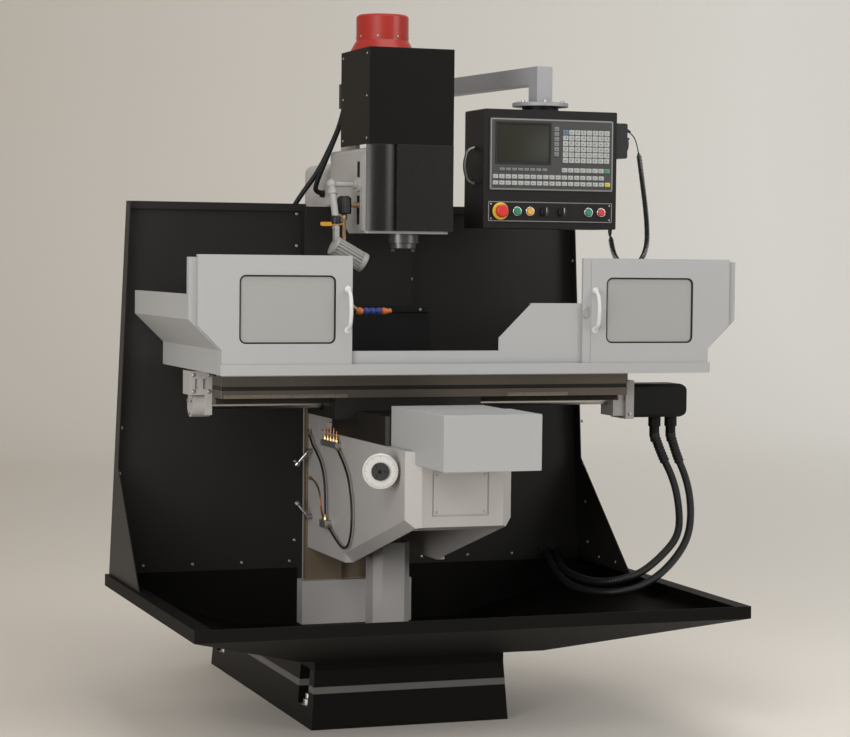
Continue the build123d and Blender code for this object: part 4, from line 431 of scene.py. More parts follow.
head_paint = coat("head_enamel", (0.34, 0.325, 0.31), 0.38, 0.06, 3.0, 0.12, 500.0, specular=0.5,
                  areas=[(head_slot_shade, (0.02, 0.02, 0.02), 0.6, 0.0)])
dress(head_paint, "head_casting")
cover_paint = coat("cover_powder_coat", (0.0050, 0.0043, 0.0034), 0.46, 0.22, 1.6, 0.35, 900.0, specular=0.12,
                   edge_wear_and_highlight=(0.06, 0.056, 0.05))
dress(cover_paint, "head_upper_cover")
lower_paint = coat("lower_cover_coat", (0.0085, 0.0076, 0.0066), 0.27, 0.22, 1.6, 0.2, 900.0, specular=0.32,
                   edge_wear_and_highlight=(0.06, 0.056, 0.05))
dress(lower_paint, "head_lower_cover")
cover_places = [((-0.1471, y, z), (-1, 0, 0)) for y in (-0.145, 0.105) for z in (1.862, 1.995, 2.128)]
cover_places += [((0.1381, y, z), (1, 0, 0)) for y in (-0.145, 0.105)
                 for z in (1.60, 1.82, 1.862, 1.995, 2.128)]
screws("cover_screws", cover_places, "column", SMALL, 12)

# Spindle motor under a red enamelled fan cowl, with eight small screws round the cowl.

red_paint = coat("red_enamel", (0.33, 0.020, 0.013), 0.38, 0.08, 5.0, 0.05, 300.0, gloss=0.12, specular=0.3)
dress(red_paint, "fan_cowl")
motor_paint = coat("motor_paint", (0.025, 0.025, 0.026), 0.5, 0.2, 6.0, 0.2, 700.0, specular=0.3)
dress(motor_paint, "spindle_motor")
cowl_angle = np.linspace(0, 2 * np.pi, 8, endpoint=False)
cowl_places = [((0.0860 * np.cos(t), 0.150 + 0.0860 * np.sin(t), 2.206), (np.cos(t), np.sin(t), 0))
               for t in cowl_angle + 0.3]
screws("cowl_screws", cowl_places, "column", SMALL, 12)

# Feed screws, levers and pulleys in ground steel; quill and spindle in darker, blacked steel.

steel = coat("ground_steel", (0.42, 0.405, 0.38), 0.30, 0.08, 12.0, 0.06, 900.0, 1.0, stretch=(1, 1, 12))
nose_steel = coat("blacked_steel", (0.10, 0.098, 0.095), 0.34, 0.1, 12.0, 0.06, 900.0, 0.9)
dress(steel, "spindle_pulley", "motor_rotor", "x_screw", "y_screw", "knee_screw", "lock_lever_upper",
      "lock_lever_lower")
dress(nose_steel, "spindle", "quill")

# Electrical cabinet on the machine's back: pale grey sheet, with louvres pressed in its door.


def pad(centre, across, facing, width, height, radius, rows, corner=4, closed=False):
    """A rounded plate: the outline of a rectangle with rounded corners, drawn in by each row's
    inset and lifted by each row's height along facing; closed rows make a frame with a hole."""
    across = np.asarray(across, float)
    facing = np.asarray(facing, float)
    upwards = np.cross(facing, across)
    quarter = np.arange(4).repeat(corner)
    angle = quarter * np.pi / 2 + np.tile(np.linspace(0, np.pi / 2, corner), 4)
    sign_a = np.sign(np.cos(quarter * np.pi / 2 + np.pi / 4))
    sign_b = np.sign(np.sin(quarter * np.pi / 2 + np.pi / 4))
    rows = np.asarray(rows, float)
    inset, lift = rows[:, :1], rows[:, 1:]
    round_by = np.maximum(radius - inset, 1e-5)
    a = sign_a * (width / 2 - inset - round_by) + round_by * np.cos(angle)
    b = sign_b * (height / 2 - inset - round_by) + round_by * np.sin(angle)
    points = np.asarray(centre, float) + a[..., None] * across + b[...,
                                                                   None] * upwards + lift[...,
                                                                                          None] * facing
    return loft(points, closed)


cabinet_paint = coat("cabinet_powder_coat", (0.30, 0.305, 0.31), 0.5, 0.05, 2.0, 0.3, 900.0, specular=0.35)
dress(cabinet_paint, "electrical_cabinet", "cabinet_door")
LOUVRE = [(0, 0), (0.0012, 0.0016), (0.0032, 0.0036), (0.0055, 0.0044)]
louvres = [pad((x, 1.1362, z), (-1, 0, 0), (0, 1, 0), 0.110, 0.013, 0.006, LOUVRE)
           for x in (-0.075, 0.185) for z in np.r_[0.70 + 0.022 * np.arange(8), 1.33 + 0.022 * np.arange(8)]]
piece("cabinet_louvres", louvres, cabinet_paint, "cabinet_door")
screws("cabinet_screws", [((x, 0.8839, z), (0, -1, 0)) for x in (-0.315, 0.425) for z in (0.60, 1.10, 1.59)],
       "column")

# Control arm: square steel tube in lavender-grey enamel. Six bolts clamp its turntable to the box.

arm_paint = coat("arm_enamel", (0.280, 0.280, 0.290), 0.4, 0.06, 4.0, 0.12, 500.0, specular=0.4)
dress(arm_paint, "control_arm")
arm_bolts = []
for turn_by in np.radians(np.arange(6) * 60 + 20):
    arm_bolts += bolt((0.492 + 0.076 * np.cos(turn_by), -0.022 + 0.076 * np.sin(turn_by), 1.9971),
                      (0, 0, 1), 0.0085)
piece("turntable_bolts", arm_bolts, bolt_steel, "control_arm")

# Work lamp: a pale jointed arm with a black collar, and a die-cast head with cooling fins round
# its barrel and a glass front.

LAMP_BACK = np.array([-0.255, -0.144, 1.524])
LAMP_AIM = np.array([0.103, 0.0, -0.057]) / np.hypot(0.103, 0.057)
LAMP_LENGTH = 0.1175
LAMP_ELBOW = np.array([-0.246, -0.144, 1.578])
FINS = 17


def finned(start, stop, core, tip, foot, direction, count):
    """A barrel whose radius steps between a core and a fin's tip, count times round the circle."""
    points, faces = turned([(start, 1.0), (stop, 1.0)], (0, 0, 0), direction, 4 * count)
    axis = np.asarray(direction, float)
    along = points @ axis
    spoke = points - along[:, None] * axis
    radius = np.tile(np.where(np.arange(4 * count) % 4 < 2, tip, core), 2)
    return np.asarray(foot) + along[:, None] * axis + radius[:, None] * spoke, faces


lamp_paint = coat("lamp_grey", (0.30, 0.292, 0.275), 0.36, 0.08, 18.0, 0.1, 900.0, specular=0.5, edge=0.0006)
dress(lamp_paint, "lamp_arm")
lamp_shapes = [
    turned([(0, 0.012), (0, 0.0300), (0.0012, 0.0325), (0.0078, 0.0325), (0.0090, 0.0305), (0.0090, 0.020)],
           LAMP_BACK, LAMP_AIM, 40),
    finned(0.0080, 0.1010, 0.0255, 0.0312, LAMP_BACK, LAMP_AIM, FINS),
    turned([(0.1000, 0.022), (0.1000, 0.0305), (0.1010, 0.0318), (0.1160, 0.0318), (LAMP_LENGTH, 0.0305),
            (LAMP_LENGTH, 0.0290), (0.1100, 0.0280)], LAMP_BACK, LAMP_AIM, 40)]
for side in (-1, 1):
    lamp_shapes.append(pad(LAMP_ELBOW + (0.001, side * 0.0085, -0.021), (1, 0, 0), (0, -1, 0), 0.015, 0.058,
                           0.0072, [(0, -0.0028), (0, 0.0028)]))
lamp_shapes.append(turned([(-0.0125, 0.006), (-0.0125, 0.0085), (0.0125, 0.0085), (0.0125, 0.006)],
                          LAMP_ELBOW, (0, 1, 0), 20))
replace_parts(piece("lamp_body", lamp_shapes, lamp_paint, "lamp_head"), "lamp_head")
lamp_glass = coat("lamp_glass", (0.62, 0.62, 0.58), 0.12, 0.03, 30.0, 0.02, 200.0, gloss=0.6)
piece("lamp_lens", [turned([(0.1085, 0.0275), (0.1120, 0.0275), (0.1132, 0.0262)], LAMP_BACK, LAMP_AIM,
                           36)], lamp_glass, "lamp_head")
black_plastic = coat("black_plastic", (0.0085, 0.0085, 0.0088), 0.42, 0.1, 30.0, 0.1, 900.0, specular=0.35,
                     edge=0.0006)
collar = turned([(0, 0.009), (0, 0.0135), (0.004, 0.0145), (0.022, 0.0145), (0.026, 0.012), (0.026, 0.006)],
                LAMP_ELBOW + (0, 0, 0.012), (0, 0, 1), 24)
piece("lamp_collar", [collar], black_plastic, "lamp_arm")

# Coolant: a knobbed valve on the head's side, a bronze pipe down from it, and a jointed plastic
# nozzle of snapped-together balls, orange at its ends and blue between.


def spline_curve(name, points, resolution):
    """A smooth curve along points, from the first to the last."""
    curve = bpy.data.curves.new(name, "CURVE")
    curve.dimensions = "3D"
    curve.resolution_u = resolution
    spline = curve.splines.new("NURBS")
    spline.points.add(len(points) - 1)
    spline.points.foreach_set("co", np.column_stack([points, np.ones(len(points))]).ravel())
    spline.order_u = 3
    spline.use_endpoint_u = True
    return curve


def route_line(name, points):
    """The smooth line of a cable or pipe, read back as points."""
    curve = spline_curve(name, points, 20)
    holder = bpy.data.objects.new(name, curve)
    mesh = bpy.data.meshes.new_from_object(holder)
    line = np.empty(3 * len(mesh.vertices))
    mesh.vertices.foreach_get("co", line)
    bpy.data.objects.remove(holder)
    bpy.data.meshes.remove(mesh)
    bpy.data.curves.remove(curve)
    return line.reshape(-1, 3)


def reach(line):
    """Distance along a line at each of its points."""
    return np.r_[0, np.cumsum(np.linalg.norm(np.diff(line, axis=0), axis=1))]


def even(line, step):
    """The line's points, spaced evenly at about a step."""
    length = reach(line)
    at = np.linspace(0, length[-1], max(3, int(length[-1] / step) + 1))
    return np.column_stack([np.interp(at, length, line[:, k]) for k in range(3)])


def frames(line, helper):
    """Two directions square to the line at each point, kept from turning by a helper direction."""
    along = np.gradient(line, axis=0)
    along = along / np.linalg.norm(along, axis=1)[:, None]
    a = np.asarray(helper, float) - (along @ np.asarray(helper, float))[:, None] * along
    a = a / np.linalg.norm(a, axis=1)[:, None]
    return a, np.cross(along, a)


def pipe(line, radius, helper, sides=14):
    """A tube: a circle of each point's radius, square to the line."""
    a, b = frames(line, helper)
    angle = np.linspace(0, 2 * np.pi, sides, endpoint=False)[None, :, None]
    radius = np.broadcast_to(radius, len(line))[:, None, None]
    return loft(line[:, None] + radius * (np.cos(angle) * a[:, None] + np.sin(angle) * b[:, None]))


bronze = coat("bronze_pipe", (0.33, 0.22, 0.12), 0.34, 0.15, 30.0, 0.08, 900.0, 0.9, edge=0.0005)
orange = coat("orange_plastic", (0.62, 0.15, 0.018), 0.36, 0.05, 30.0, 0.06, 900.0, edge=0.0005)
blue = coat("blue_plastic", (0.018, 0.045, 0.22), 0.36, 0.05, 30.0, 0.06, 900.0, edge=0.0005)
PIPE_X, PIPE_Y, NOZZLE_Z = -0.204, -0.096, 1.315
VALVE = np.array([PIPE_X, PIPE_Y, 1.651])
down = even(route_line("coolant_route", [(PIPE_X, PIPE_Y, 1.631), (PIPE_X, PIPE_Y, 1.392),
                                         (-0.190, PIPE_Y, 1.340), (-0.152, PIPE_Y, NOZZLE_Z)]), 0.006)
pipe_shapes = [
    pipe(down, 0.0065, (0, 1, 0)),
    turned([(0, 0.008), (0.068, 0.008)], VALVE + (0.068, 0, 0), (-1, 0, 0), 18),
    turned([(0, 0.0110), (0.016, 0.0110), (0.018, 0.0095)], VALVE - (0, 0, 0.048), (0, 0, 1), 6),
    turned([(0, 0.0110), (0.010, 0.0110)], (-0.150, PIPE_Y, 1.651), (-1, 0, 0), 6)]
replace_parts(piece("coolant_pipe", pipe_shapes, bronze, "column"), "coolant_hose")
knob_rows = [(0, 0.015), (0, 0.0195), (0.003, 0.0225), (0.046, 0.0225), (0.052, 0.0205), (0.057, 0.014)]
piece("coolant_knob", [turned(knob_rows, VALVE - (0, 0, 0.029), (0, 0, 1), 72, 12, 0.035)], black_plastic,
      "column")
tag_paint = coat("valve_lever_yellow", (0.62, 0.30, 0.03), 0.4, 0.06, 30.0, 0.06, 900.0, edge=0.0005)
lever_shapes = [pad((-0.262, PIPE_Y, 1.590), (1, 0, 0), (0, -1, 0), 0.040, 0.013, 0.006,
                    [(0, -0.002), (0, 0.002)]),
                turned([(0, 0.0035), (0.042, 0.0035)], (-0.206, PIPE_Y, 1.590), (-1, 0, 0), 12)]
piece("coolant_lever", lever_shapes, tag_paint, "column")
BALL = [(0, 0.0085), (0.0020, 0.0088), (0.0040, 0.0105), (0.0075, 0.0120), (0.0130, 0.0120), (0.0175, 0.0104),
        (0.0195, 0.0086), (0.0210, 0.0084)]
TIP = [(0, 0.0085), (0.003, 0.0112), (0.010, 0.0116), (0.014, 0.0100), (0.026, 0.0060), (0.033, 0.0056)]
balls = [turned(BALL, (-0.160 + 0.021 * i, PIPE_Y, NOZZLE_Z), (1, 0, 0), 24) for i in range(4)]
tip = turned(TIP, (-0.076, PIPE_Y, NOZZLE_Z), (1, 0, 0), 24)
piece("nozzle_ends", [balls[0], tip], orange, "column")
piece("nozzle_balls", balls[1:], blue, "column")

# Head conduits: two ribbed black hoses with the motor's wires, one from the cabinet and one
# from the overarm, both up behind the head cover.


def ripple(line, radius, pitch, depth):
    """A radius that rises and falls once in each pitch along a line."""
    return radius + depth * np.cos(2 * np.pi * reach(line) / pitch)


def ribbed(line, radius, pitch, depth, helper, sides=16):
    """A hose with a rib in each pitch along it."""
    fine = even(line, pitch / 4)
    return pipe(fine, ripple(fine, radius, pitch, depth), helper, sides)


hose_black = coat("ribbed_hose", (0.0080, 0.0080, 0.0082), 0.45, 0.15, 40.0, 0.1, 900.0, specular=0.3,
                  edge=0.0003)
to_cabinet = route_line("cabinet_conduit", [
    (-0.122, 0.178, 1.972), (-0.128, 0.196, 1.925), (-0.142, 0.232, 1.865), (-0.168, 0.320, 1.764),
    (-0.190, 0.415, 1.702), (-0.206, 0.480, 1.650), (-0.218, 0.560, 1.570), (-0.226, 0.690, 1.450),
    (-0.226, 0.790, 1.425), (-0.226, 0.884, 1.422)])
to_overarm = route_line("overarm_conduit", [
    (-0.122, 0.150, 1.972), (-0.140, 0.180, 1.900), (-0.160, 0.226, 1.822), (-0.168, 0.290, 1.760),
    (-0.164, 0.352, 1.722), (-0.150, 0.396, 1.704), (-0.115, 0.412, 1.698)])
GLAND = [(0, 0.009), (0, 0.0125), (0.006, 0.0130), (0.007, 0.0118), (0.014, 0.0118), (0.016, 0.009)]
conduit_shapes = [ribbed(line, 0.0078, 0.0046, 0.0007, (1, 0, 0)) for line in (to_cabinet, to_overarm)]
conduit_shapes += [turned(GLAND, (-0.226, 0.884, 1.422), (0, -1, 0), 20),
                   turned(GLAND, (-0.115, 0.412, 1.698), (-1, 0.3, 0.1), 20)]
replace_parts(piece("head_conduits", conduit_shapes, hose_black, "column"), "conduits")

# Knee group: cast knee in grey enamel with a screwed plate on its front, and a folded hood over
# the cross motor, in the same grey as the saddle's cover and the splash guard.

SHEET_GREY = (0.350, 0.352, 0.350)
guard_paint = coat("guard_powder_coat", SHEET_GREY, 0.46, 0.045, 1.2, 0.22, 900.0, specular=0.35)
dress(guard_paint, "y_hood", "saddle_cover", "guard_pan", "guard_ends", "guard_front")
servo_paint = coat("servo_black", (0.0045, 0.0045, 0.0042), 0.46, 0.2, 8.0, 0.2, 900.0, specular=0.16)
dress(servo_paint, "y_servo", "x_servo")
knee_plate = pad((-0.006, -0.6501, 0.784), (1, 0, 0), (0, -1, 0), 0.172, 0.128, 0.004,
                 [(0, 0), (0, 0.0018), (0.0006, 0.0024)])
piece("knee_plate", [knee_plate], grey_paint, "knee")
screws("knee_plate_screws", [((-0.006 + sx * 0.077, -0.6524, 0.784 + sz * 0.055), (0, -1, 0))
                             for sx in (-1, 1) for sz in (-1, 1)], "knee", SMALL, 12)

# Knee crank dial: a pale graduated ring round a black claw hub, on the shaft to the knee screw.

DIAL = np.array([-0.231, -0.565, 0.846])
DIAL_AXIS = np.array([0.35414, 0.93519, 0.0])
DIAL_SIDE = np.array([0.93519, -0.35414, 0.0])


def dial_hub(tree, coords, split):
    """1 within the hub's radius of the dial's axis."""
    offset = vector_math(tree, "SUBTRACT", coords.outputs["Object"], DIAL)
    away = vector_math(tree, "LENGTH", vector_math(tree, "CROSS_PRODUCT", offset, DIAL_AXIS), result=1)
    return math(tree, "LESS_THAN", away, 0.0274)


dial_paint = coat("dial_enamel", (0.60, 0.59, 0.56), 0.34, 0.04, 20.0, 0.04, 900.0, 0.15, edge=0.0006,
                  areas=[(dial_hub, (0.010, 0.010, 0.010), 0.4, 0.0)])
dress(dial_paint, "knee_dial")
ink = coat("black_ink", (0.010, 0.010, 0.010), 0.5, 0.1, 60.0, 0.0, 900.0, edge=0.0001)
ticks = []
for i in range(60):
    angle = 2 * np.pi * i / 60
    outward = np.cos(angle) * DIAL_SIDE + np.sin(angle) * np.array([0, 0, 1.0])
    long_tick = 0.0085 if i % 5 == 0 else 0.0050
    ticks.append(pad(DIAL + outward * (0.0502 - long_tick / 2), outward, -DIAL_AXIS, long_tick, 0.0009,
                     0.0002, [(0, -0.0001), (0, 0.0002)], 2))
piece("dial_ticks", ticks, ink, "knee_dial", smooth=False)

# Oil system on the knee's left side: a zinc manifold and branch block with brass unions, two
# black hoses and copper tubes.

brass = coat("brass_fittings", (0.42, 0.29, 0.13), 0.32, 0.12, 40.0, 0.06, 900.0, 0.95, edge=0.0005)
copper = coat("copper_line", (0.42, 0.20, 0.10), 0.34, 0.15, 40.0, 0.06, 900.0, 0.95, edge=0.0003)
FACE = -0.1703
HOSE_X = FACE - 0.012
zinc_shapes = [pad((FACE - 0.009, 0.105, 0.876), (0, -1, 0), (-1, 0, 0), 0.170, 0.020, 0.002,
                   [(0, -0.0088), (0, 0.0080), (0.001, 0.0088)]),
               pad((FACE - 0.011, 0.153, 0.609), (0, -1, 0), (-1, 0, 0), 0.066, 0.026, 0.002,
                   [(0, -0.0108), (0, 0.0100), (0.001, 0.0108)])]
for y in (0.030, 0.180):
    zinc_shapes += bolt((FACE - 0.0178, y, 0.876), (-1, 0, 0), 0.006, 0.6)
oil_shapes, copper_shapes = [], []
for i in range(5):
    foot = (FACE - 0.009, 0.040 + 0.032 * i, 0.886)
    oil_shapes.append(turned([(0, 0.0060), (0.008, 0.0060), (0.0085, 0.0048)], foot, (0, 0, 1), 6))
    oil_shapes.append(turned([(0.008, 0.0046), (0.013, 0.0050), (0.018, 0.0036)], foot, (0, 0, 1), 16))
    copper_shapes.append(turned([(0.016, 0.0024), (0.036 + 0.008 * (i % 3), 0.0024)], foot, (0, 0, 1), 12))
TUBE_X = FACE - 0.004
for foot, direction in (((HOSE_X, 0.030, 0.866), (0, -0.5, -0.1)), ((HOSE_X, 0.150, 0.622), (0, 0, 1)),
                        ((HOSE_X, 0.120, 0.606), (0, -1, -0.3)), ((TUBE_X, 0.186, 0.612), (0, 1, 0.6)),
                        ((TUBE_X, 0.352, 0.742), (0, -1, -0.12)), ((HOSE_X, 0.352, 0.900), (0, -0.7, -0.7))):
    oil_shapes.append(turned([(0, 0.0058), (0.009, 0.0058), (0.010, 0.0050)], foot, direction, 6))
    oil_shapes.append(turned([(0.009, 0.0048), (0.018, 0.0048)], foot, direction, 14))
copper_route = route_line("copper_route", [(TUBE_X, y, z) for y, z in (
    (0.352, 0.742), (0.286, 0.734), (0.240, 0.700), (0.228, 0.640), (0.186, 0.612))])
copper_shapes.append(pipe(copper_route, 0.0025, (1, 0, 0), 12))
slack = route_line("slack_hose", [(HOSE_X, y, z) for y, z in (
    (0.028, 0.866), (-0.078, 0.812), (-0.128, 0.722), (-0.138, 0.640), (-0.112, 0.572), (-0.052, 0.548),
    (0.024, 0.566), (0.110, 0.600))])
supply = route_line("supply_hose", [(HOSE_X, y, z) for y, z in (
    (0.356, 0.905), (0.316, 0.862), (0.232, 0.826), (0.176, 0.780), (0.152, 0.712), (0.150, 0.622))])
zinc = coat("zinc_block", (0.36, 0.35, 0.33), 0.42, 0.12, 50.0, 0.15, 700.0, 0.85, edge=0.0006)
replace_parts(piece("oil_manifold", zinc_shapes, zinc, "knee"), "oil_lines")
piece("oil_unions", oil_shapes, brass, "knee")
piece("copper_tubes", copper_shapes, copper, "knee")
piece("oil_hoses", [pipe(slack, 0.0036, (1, 0, 0)), pipe(supply, 0.0036, (1, 0, 0))], hose_black, "knee")

# Saddle: dark oiled iron. Table: ground cast iron, a warm brown-grey from oil, with its front groove and
# T-slots painted dark as shade, and a paler screwed strip below the groove.


def table_hollow_shade(tree, coords, split):
    # Painted shade: the groove and the T-slots are coloured near black.
    groove = inside(tree, split.outputs["Z"], 1.0679, 1.0811)
    slots = block(tree, split, None, (-0.094, 0.094), (1.1095, 1.1393))
    return math(tree, "MAXIMUM", groove, slots)


saddle_paint = coat("saddle_dark_iron", (0.016, 0.014, 0.012), 0.45, 0.3, 8.0, 0.3, 300.0, 0.2, specular=0.3)
dress(saddle_paint, "saddle")
table_iron = coat("table_iron", (0.125, 0.108, 0.088), 0.42, 0.18, 5.0, 0.12, 500.0, 0.75,
                  stretch=(0.15, 6, 6), areas=[(table_hollow_shade, (0.016, 0.014, 0.011), 0.6, 0.3)],
                  edge_wear_and_highlight=(0.26, 0.24, 0.21))
dress(table_iron, "table")
strip_shapes = []
for x0, x1 in ((-0.610, -0.207), (0.334, 0.544)):
    strip_shapes.append(pad(((x0 + x1) / 2, -0.1621, 1.049), (1, 0, 0), (0, -1, 0), x1 - x0, 0.011, 0.001,
                            [(0, 0), (0, 0.0012)]))
    for x in np.arange(x0 + 0.006, x1 - 0.003, 0.0095):
        strip_shapes.append(turned([(0.0012, 0.0030), (0.0022, 0.0030), (0.0028, 0.0022)],
                                   (x, -0.1621, 1.049), (0, -1, 0), 8))
strip_iron = coat("strip_iron", (0.23, 0.205, 0.165), 0.42, 0.2, 60.0, 0.1, 900.0, 0.8, edge=0.0003)
piece("table_strip", strip_shapes, strip_iron, "table")
bracket_bolts = []
for z in (1.060, 1.112):
    for x in (-0.678, -0.628):
        bracket_bolts += bolt((x, -0.0461, z), (0, -1, 0), 0.0075, 0.8)
for turn_by in np.radians([30, 150, 270]):
    bracket_bolts += bolt((-0.6771, 0.027 * np.cos(turn_by), 1.016 + 0.027 * np.sin(turn_by)), (-1, 0, 0),
                          0.0055)
for z in (0.972, 1.064):
    bracket_bolts += bolt((0.813, -0.0601, z), (0, -1, 0), 0.0065, 0.8)
piece("bracket_bolts", bracket_bolts, bolt_steel, "table")

# Doors: folded sheet in the guard's grey, each with a white bow handle and a frosted plastic
# window held in a dark rubber channel. The right door's edge carries a bright latch.


def handle_area(tree, coords, split):
    return inside(tree, split.outputs["Y"], -1.0, -0.4152)


def latch_area(tree, coords, split):
    return block(tree, split, (0.484, 0.5015), (-1.0, -0.4152), (1.304, 1.337))


door_paint = coat("door_powder_coat", SHEET_GREY, 0.46, 0.045, 1.2, 0.22, 900.0, specular=0.35,
                  areas=[(handle_area, (0.58, 0.58, 0.57), 0.3, 0.0),
                         (latch_area, (0.55, 0.55, 0.54), 0.22, 1.0)])
dress(door_paint, "door_left", "door_right")
pane = coat("frosted_pane", (0.300, 0.300, 0.286), 0.30, 0.03, 2.0, 0.2, 500.0, specular=0.45)
dress(pane, "window_left", "window_right")
# The gasket's dark line is partly the rubber channel's own colour and partly stands in for the shadow at the
# window's recess.
GASKET = [(-0.0002, 0.0), (0.0046, 0.0), (0.0046, 0.0036), (0.0036, 0.0048), (0.0010, 0.0048),
          (-0.0002, 0.0036)]
for side, x, handle_x in (("left", -0.4783, -0.2893), ("right", 0.7163, 0.5273)):
    gasket = pad((x, -0.4090, 1.3265), (1, 0, 0), (0, -1, 0), 0.302, 0.207, 0.020, GASKET, 8, closed=True)
    piece("window_gasket_" + side, [gasket], rubber, "door_" + side)
    feet = [turned([(0, 0.0105), (0.0016, 0.0105), (0.0030, 0.0085)], (handle_x, -0.4151, z), (0, -1, 0), 20)
            for z in (1.2645, 1.3885)]
    white_plastic = coat("white_plastic_" + side, (0.58, 0.58, 0.57), 0.3, 0.03, 30.0, 0.04, 900.0,
                         edge=0.0005)
    piece("handle_feet_" + side, feet, white_plastic, "door_" + side)

# Control box: black powder-coated sheet with a bright side handle. The bought-in control unit
# has a dark moulded bezel, a dull dark screen and fields of keys.


def side_handle(tree, coords, split):
    return math(tree, "LESS_THAN", split.outputs["X"], 0.2603)


box_paint = coat("box_powder_coat", (0.0085, 0.0078, 0.0072), 0.45, 0.2, 3.0, 0.4, 1000.0, specular=0.22,
                 areas=[(side_handle, (0.30, 0.30, 0.30), 0.32, 0.8)], edge_wear_and_highlight=(0.05, 0.047, 0.043))
dress(box_paint, "control_box")
dress(black_plastic, "handwheel_unit")
bezel_paint = coat("unit_bezel", (0.050, 0.050, 0.049), 0.5, 0.08, 8.0, 0.25, 1200.0, specular=0.3)
dress(bezel_paint, "cnc_unit")
FRONT = np.array([0, -1.0, 0])
SIDEWAYS = np.array([1.0, 0, 0])
border = pad((0.496, -0.1200, 1.824), SIDEWAYS, FRONT, 0.430, 0.230, 0.006,
             [(0, 0), (0.0045, 0), (0.0045, 0.0012), (0.0038, 0.0018), (0.0008, 0.0018), (0, 0.0012)], 6,
             closed=True)
border_grey = coat("border_grey", (0.20, 0.20, 0.195), 0.42, 0.05, 20.0, 0.15, 900.0, specular=0.4,
                   edge=0.0005)
piece("unit_border", [border], border_grey, "control_box")
screen_frame = pad((0.395, -0.1172, 1.860), SIDEWAYS, FRONT, 0.196, 0.138, 0.003,
                   [(0, 0), (0.0085, 0), (0.0070, 0.0024), (0.0010, 0.0032), (0, 0.0030)], 5, closed=True)
piece("screen_frame", [screen_frame], black_plastic, "control_box")
screen_glass = coat("screen_glass", (0.0175, 0.0175, 0.0110), 0.42, 0.2, 3.0, 0.0, 200.0, specular=0.25)
piece("screen", [pad((0.395, -0.1171, 1.860), SIDEWAYS, FRONT, 0.180, 0.122, 0.002,
                     [(0, 0), (0, 0.0008), (0.0006, 0.0011)], 4)], screen_glass, "control_box")
# Each field's left, right, bottom and top, its columns and rows, and a key's share of its pitch.
KEY_FIELDS = ((0.501, 0.520, 1.819, 1.917, 1, 6, 0.82), (0.532, 0.699, 1.799, 1.908, 8, 6, 0.84),
              (0.311, 0.480, 1.770, 1.781, 8, 1, 0.75), (0.529, 0.701, 1.768, 1.784, 8, 1, 0.85),
              (0.288, 0.681, 1.7440, 1.7600, 18, 1, 0.80), (0.288, 0.704, 1.7235, 1.7395, 19, 1, 0.80))
KEY_CAP = [(0, 0), (0, 0.0026), (0.0005, 0.0032), (0.0011, 0.0034)]
MARK = [(0, -0.0002), (0, 0.0002)]
SPECIAL_KEYS = {(1, 0, 5): "blue", (3, 7, 0): "green", (5, 18, 0): "yellow"}
caps = {"grey": [], "slate": [], "blue": [], "green": [], "yellow": []}
marks = []
for field, (x0, x1, z0, z1, columns, rows, share) in enumerate(KEY_FIELDS):
    wide = (x1 - x0) / columns
    high = (z1 - z0) / rows
    for i in range(columns):
        for j in range(rows):
            centre = np.array([x0 + wide * (i + 0.5), -0.1198, z0 + high * (j + 0.5)])
            colour = SPECIAL_KEYS.get((field, i, j), "slate" if field in (0, 2) else "grey")
            cap_wide = wide * share + 0.0008
            cap_high = high * share + 0.0008
            caps[colour].append(pad(centre, SIDEWAYS, FRONT, cap_wide, cap_high, 0.0014, KEY_CAP, 3))
            mark = centre + FRONT * 0.0034 + SIDEWAYS * cap_wide * 0.08 * ((3 * i + 5 * j) % 3 - 1)
            marks.append(pad(mark, SIDEWAYS, FRONT, cap_wide * 0.34, cap_high * 0.12, 0.0002, MARK, 2))
            if field == 1 and (i + j) % 3:
                marks.append(pad(mark + (0, 0, cap_high * 0.24), SIDEWAYS, FRONT, cap_wide * 0.16,
                                 cap_high * 0.12, 0.0002, MARK, 2))
KEY_COLOURS = {"grey": (0.330, 0.335, 0.325), "slate": (0.150, 0.152, 0.148), "blue": (0.10, 0.15, 0.19),
               "green": (0.05, 0.22, 0.10), "yellow": (0.50, 0.40, 0.06)}
for colour, shapes in caps.items():
    cap_plastic = coat("key_cap_" + colour, KEY_COLOURS[colour], 0.42, 0.04, 90.0, 0.05, 900.0, edge=0.0003)
    piece("unit_keys_" + colour, shapes, cap_plastic, "control_box")
piece("unit_key_marks", marks, ink, "control_box", smooth=False)

# Button strip: a framed black plate with four push buttons in bright bezels, two turn switches
# and an emergency stop on a yellow disc.

plastics = {"red": (0.55, 0.022, 0.014), "green": (0.012, 0.20, 0.105), "yellow": (0.66, 0.34, 0.035),
            "black": (0.0095, 0.0095, 0.0098)}
for name, node_names in (("red", ("estop", "button_red")), ("yellow", ("button_yellow",)),
                         ("green", ("button_green_left", "button_green_right")),
                         ("black", ("knob_left", "knob_right", "hand_pulse_wheel"))):
    plastics[name] = coat("plastic_" + name, plastics[name], 0.3, 0.04, 20.0, 0.06, 800.0, gloss=0.15,
                          edge=0.0008)
    dress(plastics[name], *node_names)
BUTTON_Z, STRIP_X, PANEL_Y, STRIP_Z = 1.640, 0.4935, -0.1180, 1.639
strip_frame = pad((STRIP_X, PANEL_Y, STRIP_Z), SIDEWAYS, FRONT, 0.435, 0.064, 0.003,
                  [(0, 0), (0.0028, 0), (0.0028, 0.0010), (0.0022, 0.0014), (0.0005, 0.0014), (0, 0.0010)],
                  4, closed=True)
piece("strip_frame", [strip_frame], border_grey, "control_box")
screws("strip_screws", [((STRIP_X + sx * 0.208, PANEL_Y, STRIP_Z + sz * 0.0235), (0, -1, 0))
                        for sx in (-1, 1) for sz in (-1, 1)], "control_box", SMALL * 0.8, 12)
BEZEL_R = 0.0152
BEZEL = np.array([(0, 0.0112), (0.0044, 0.0112), (0.0050, 0.0120), (0.0050, 0.0138), (0.0040, BEZEL_R),
                  (0, BEZEL_R)])
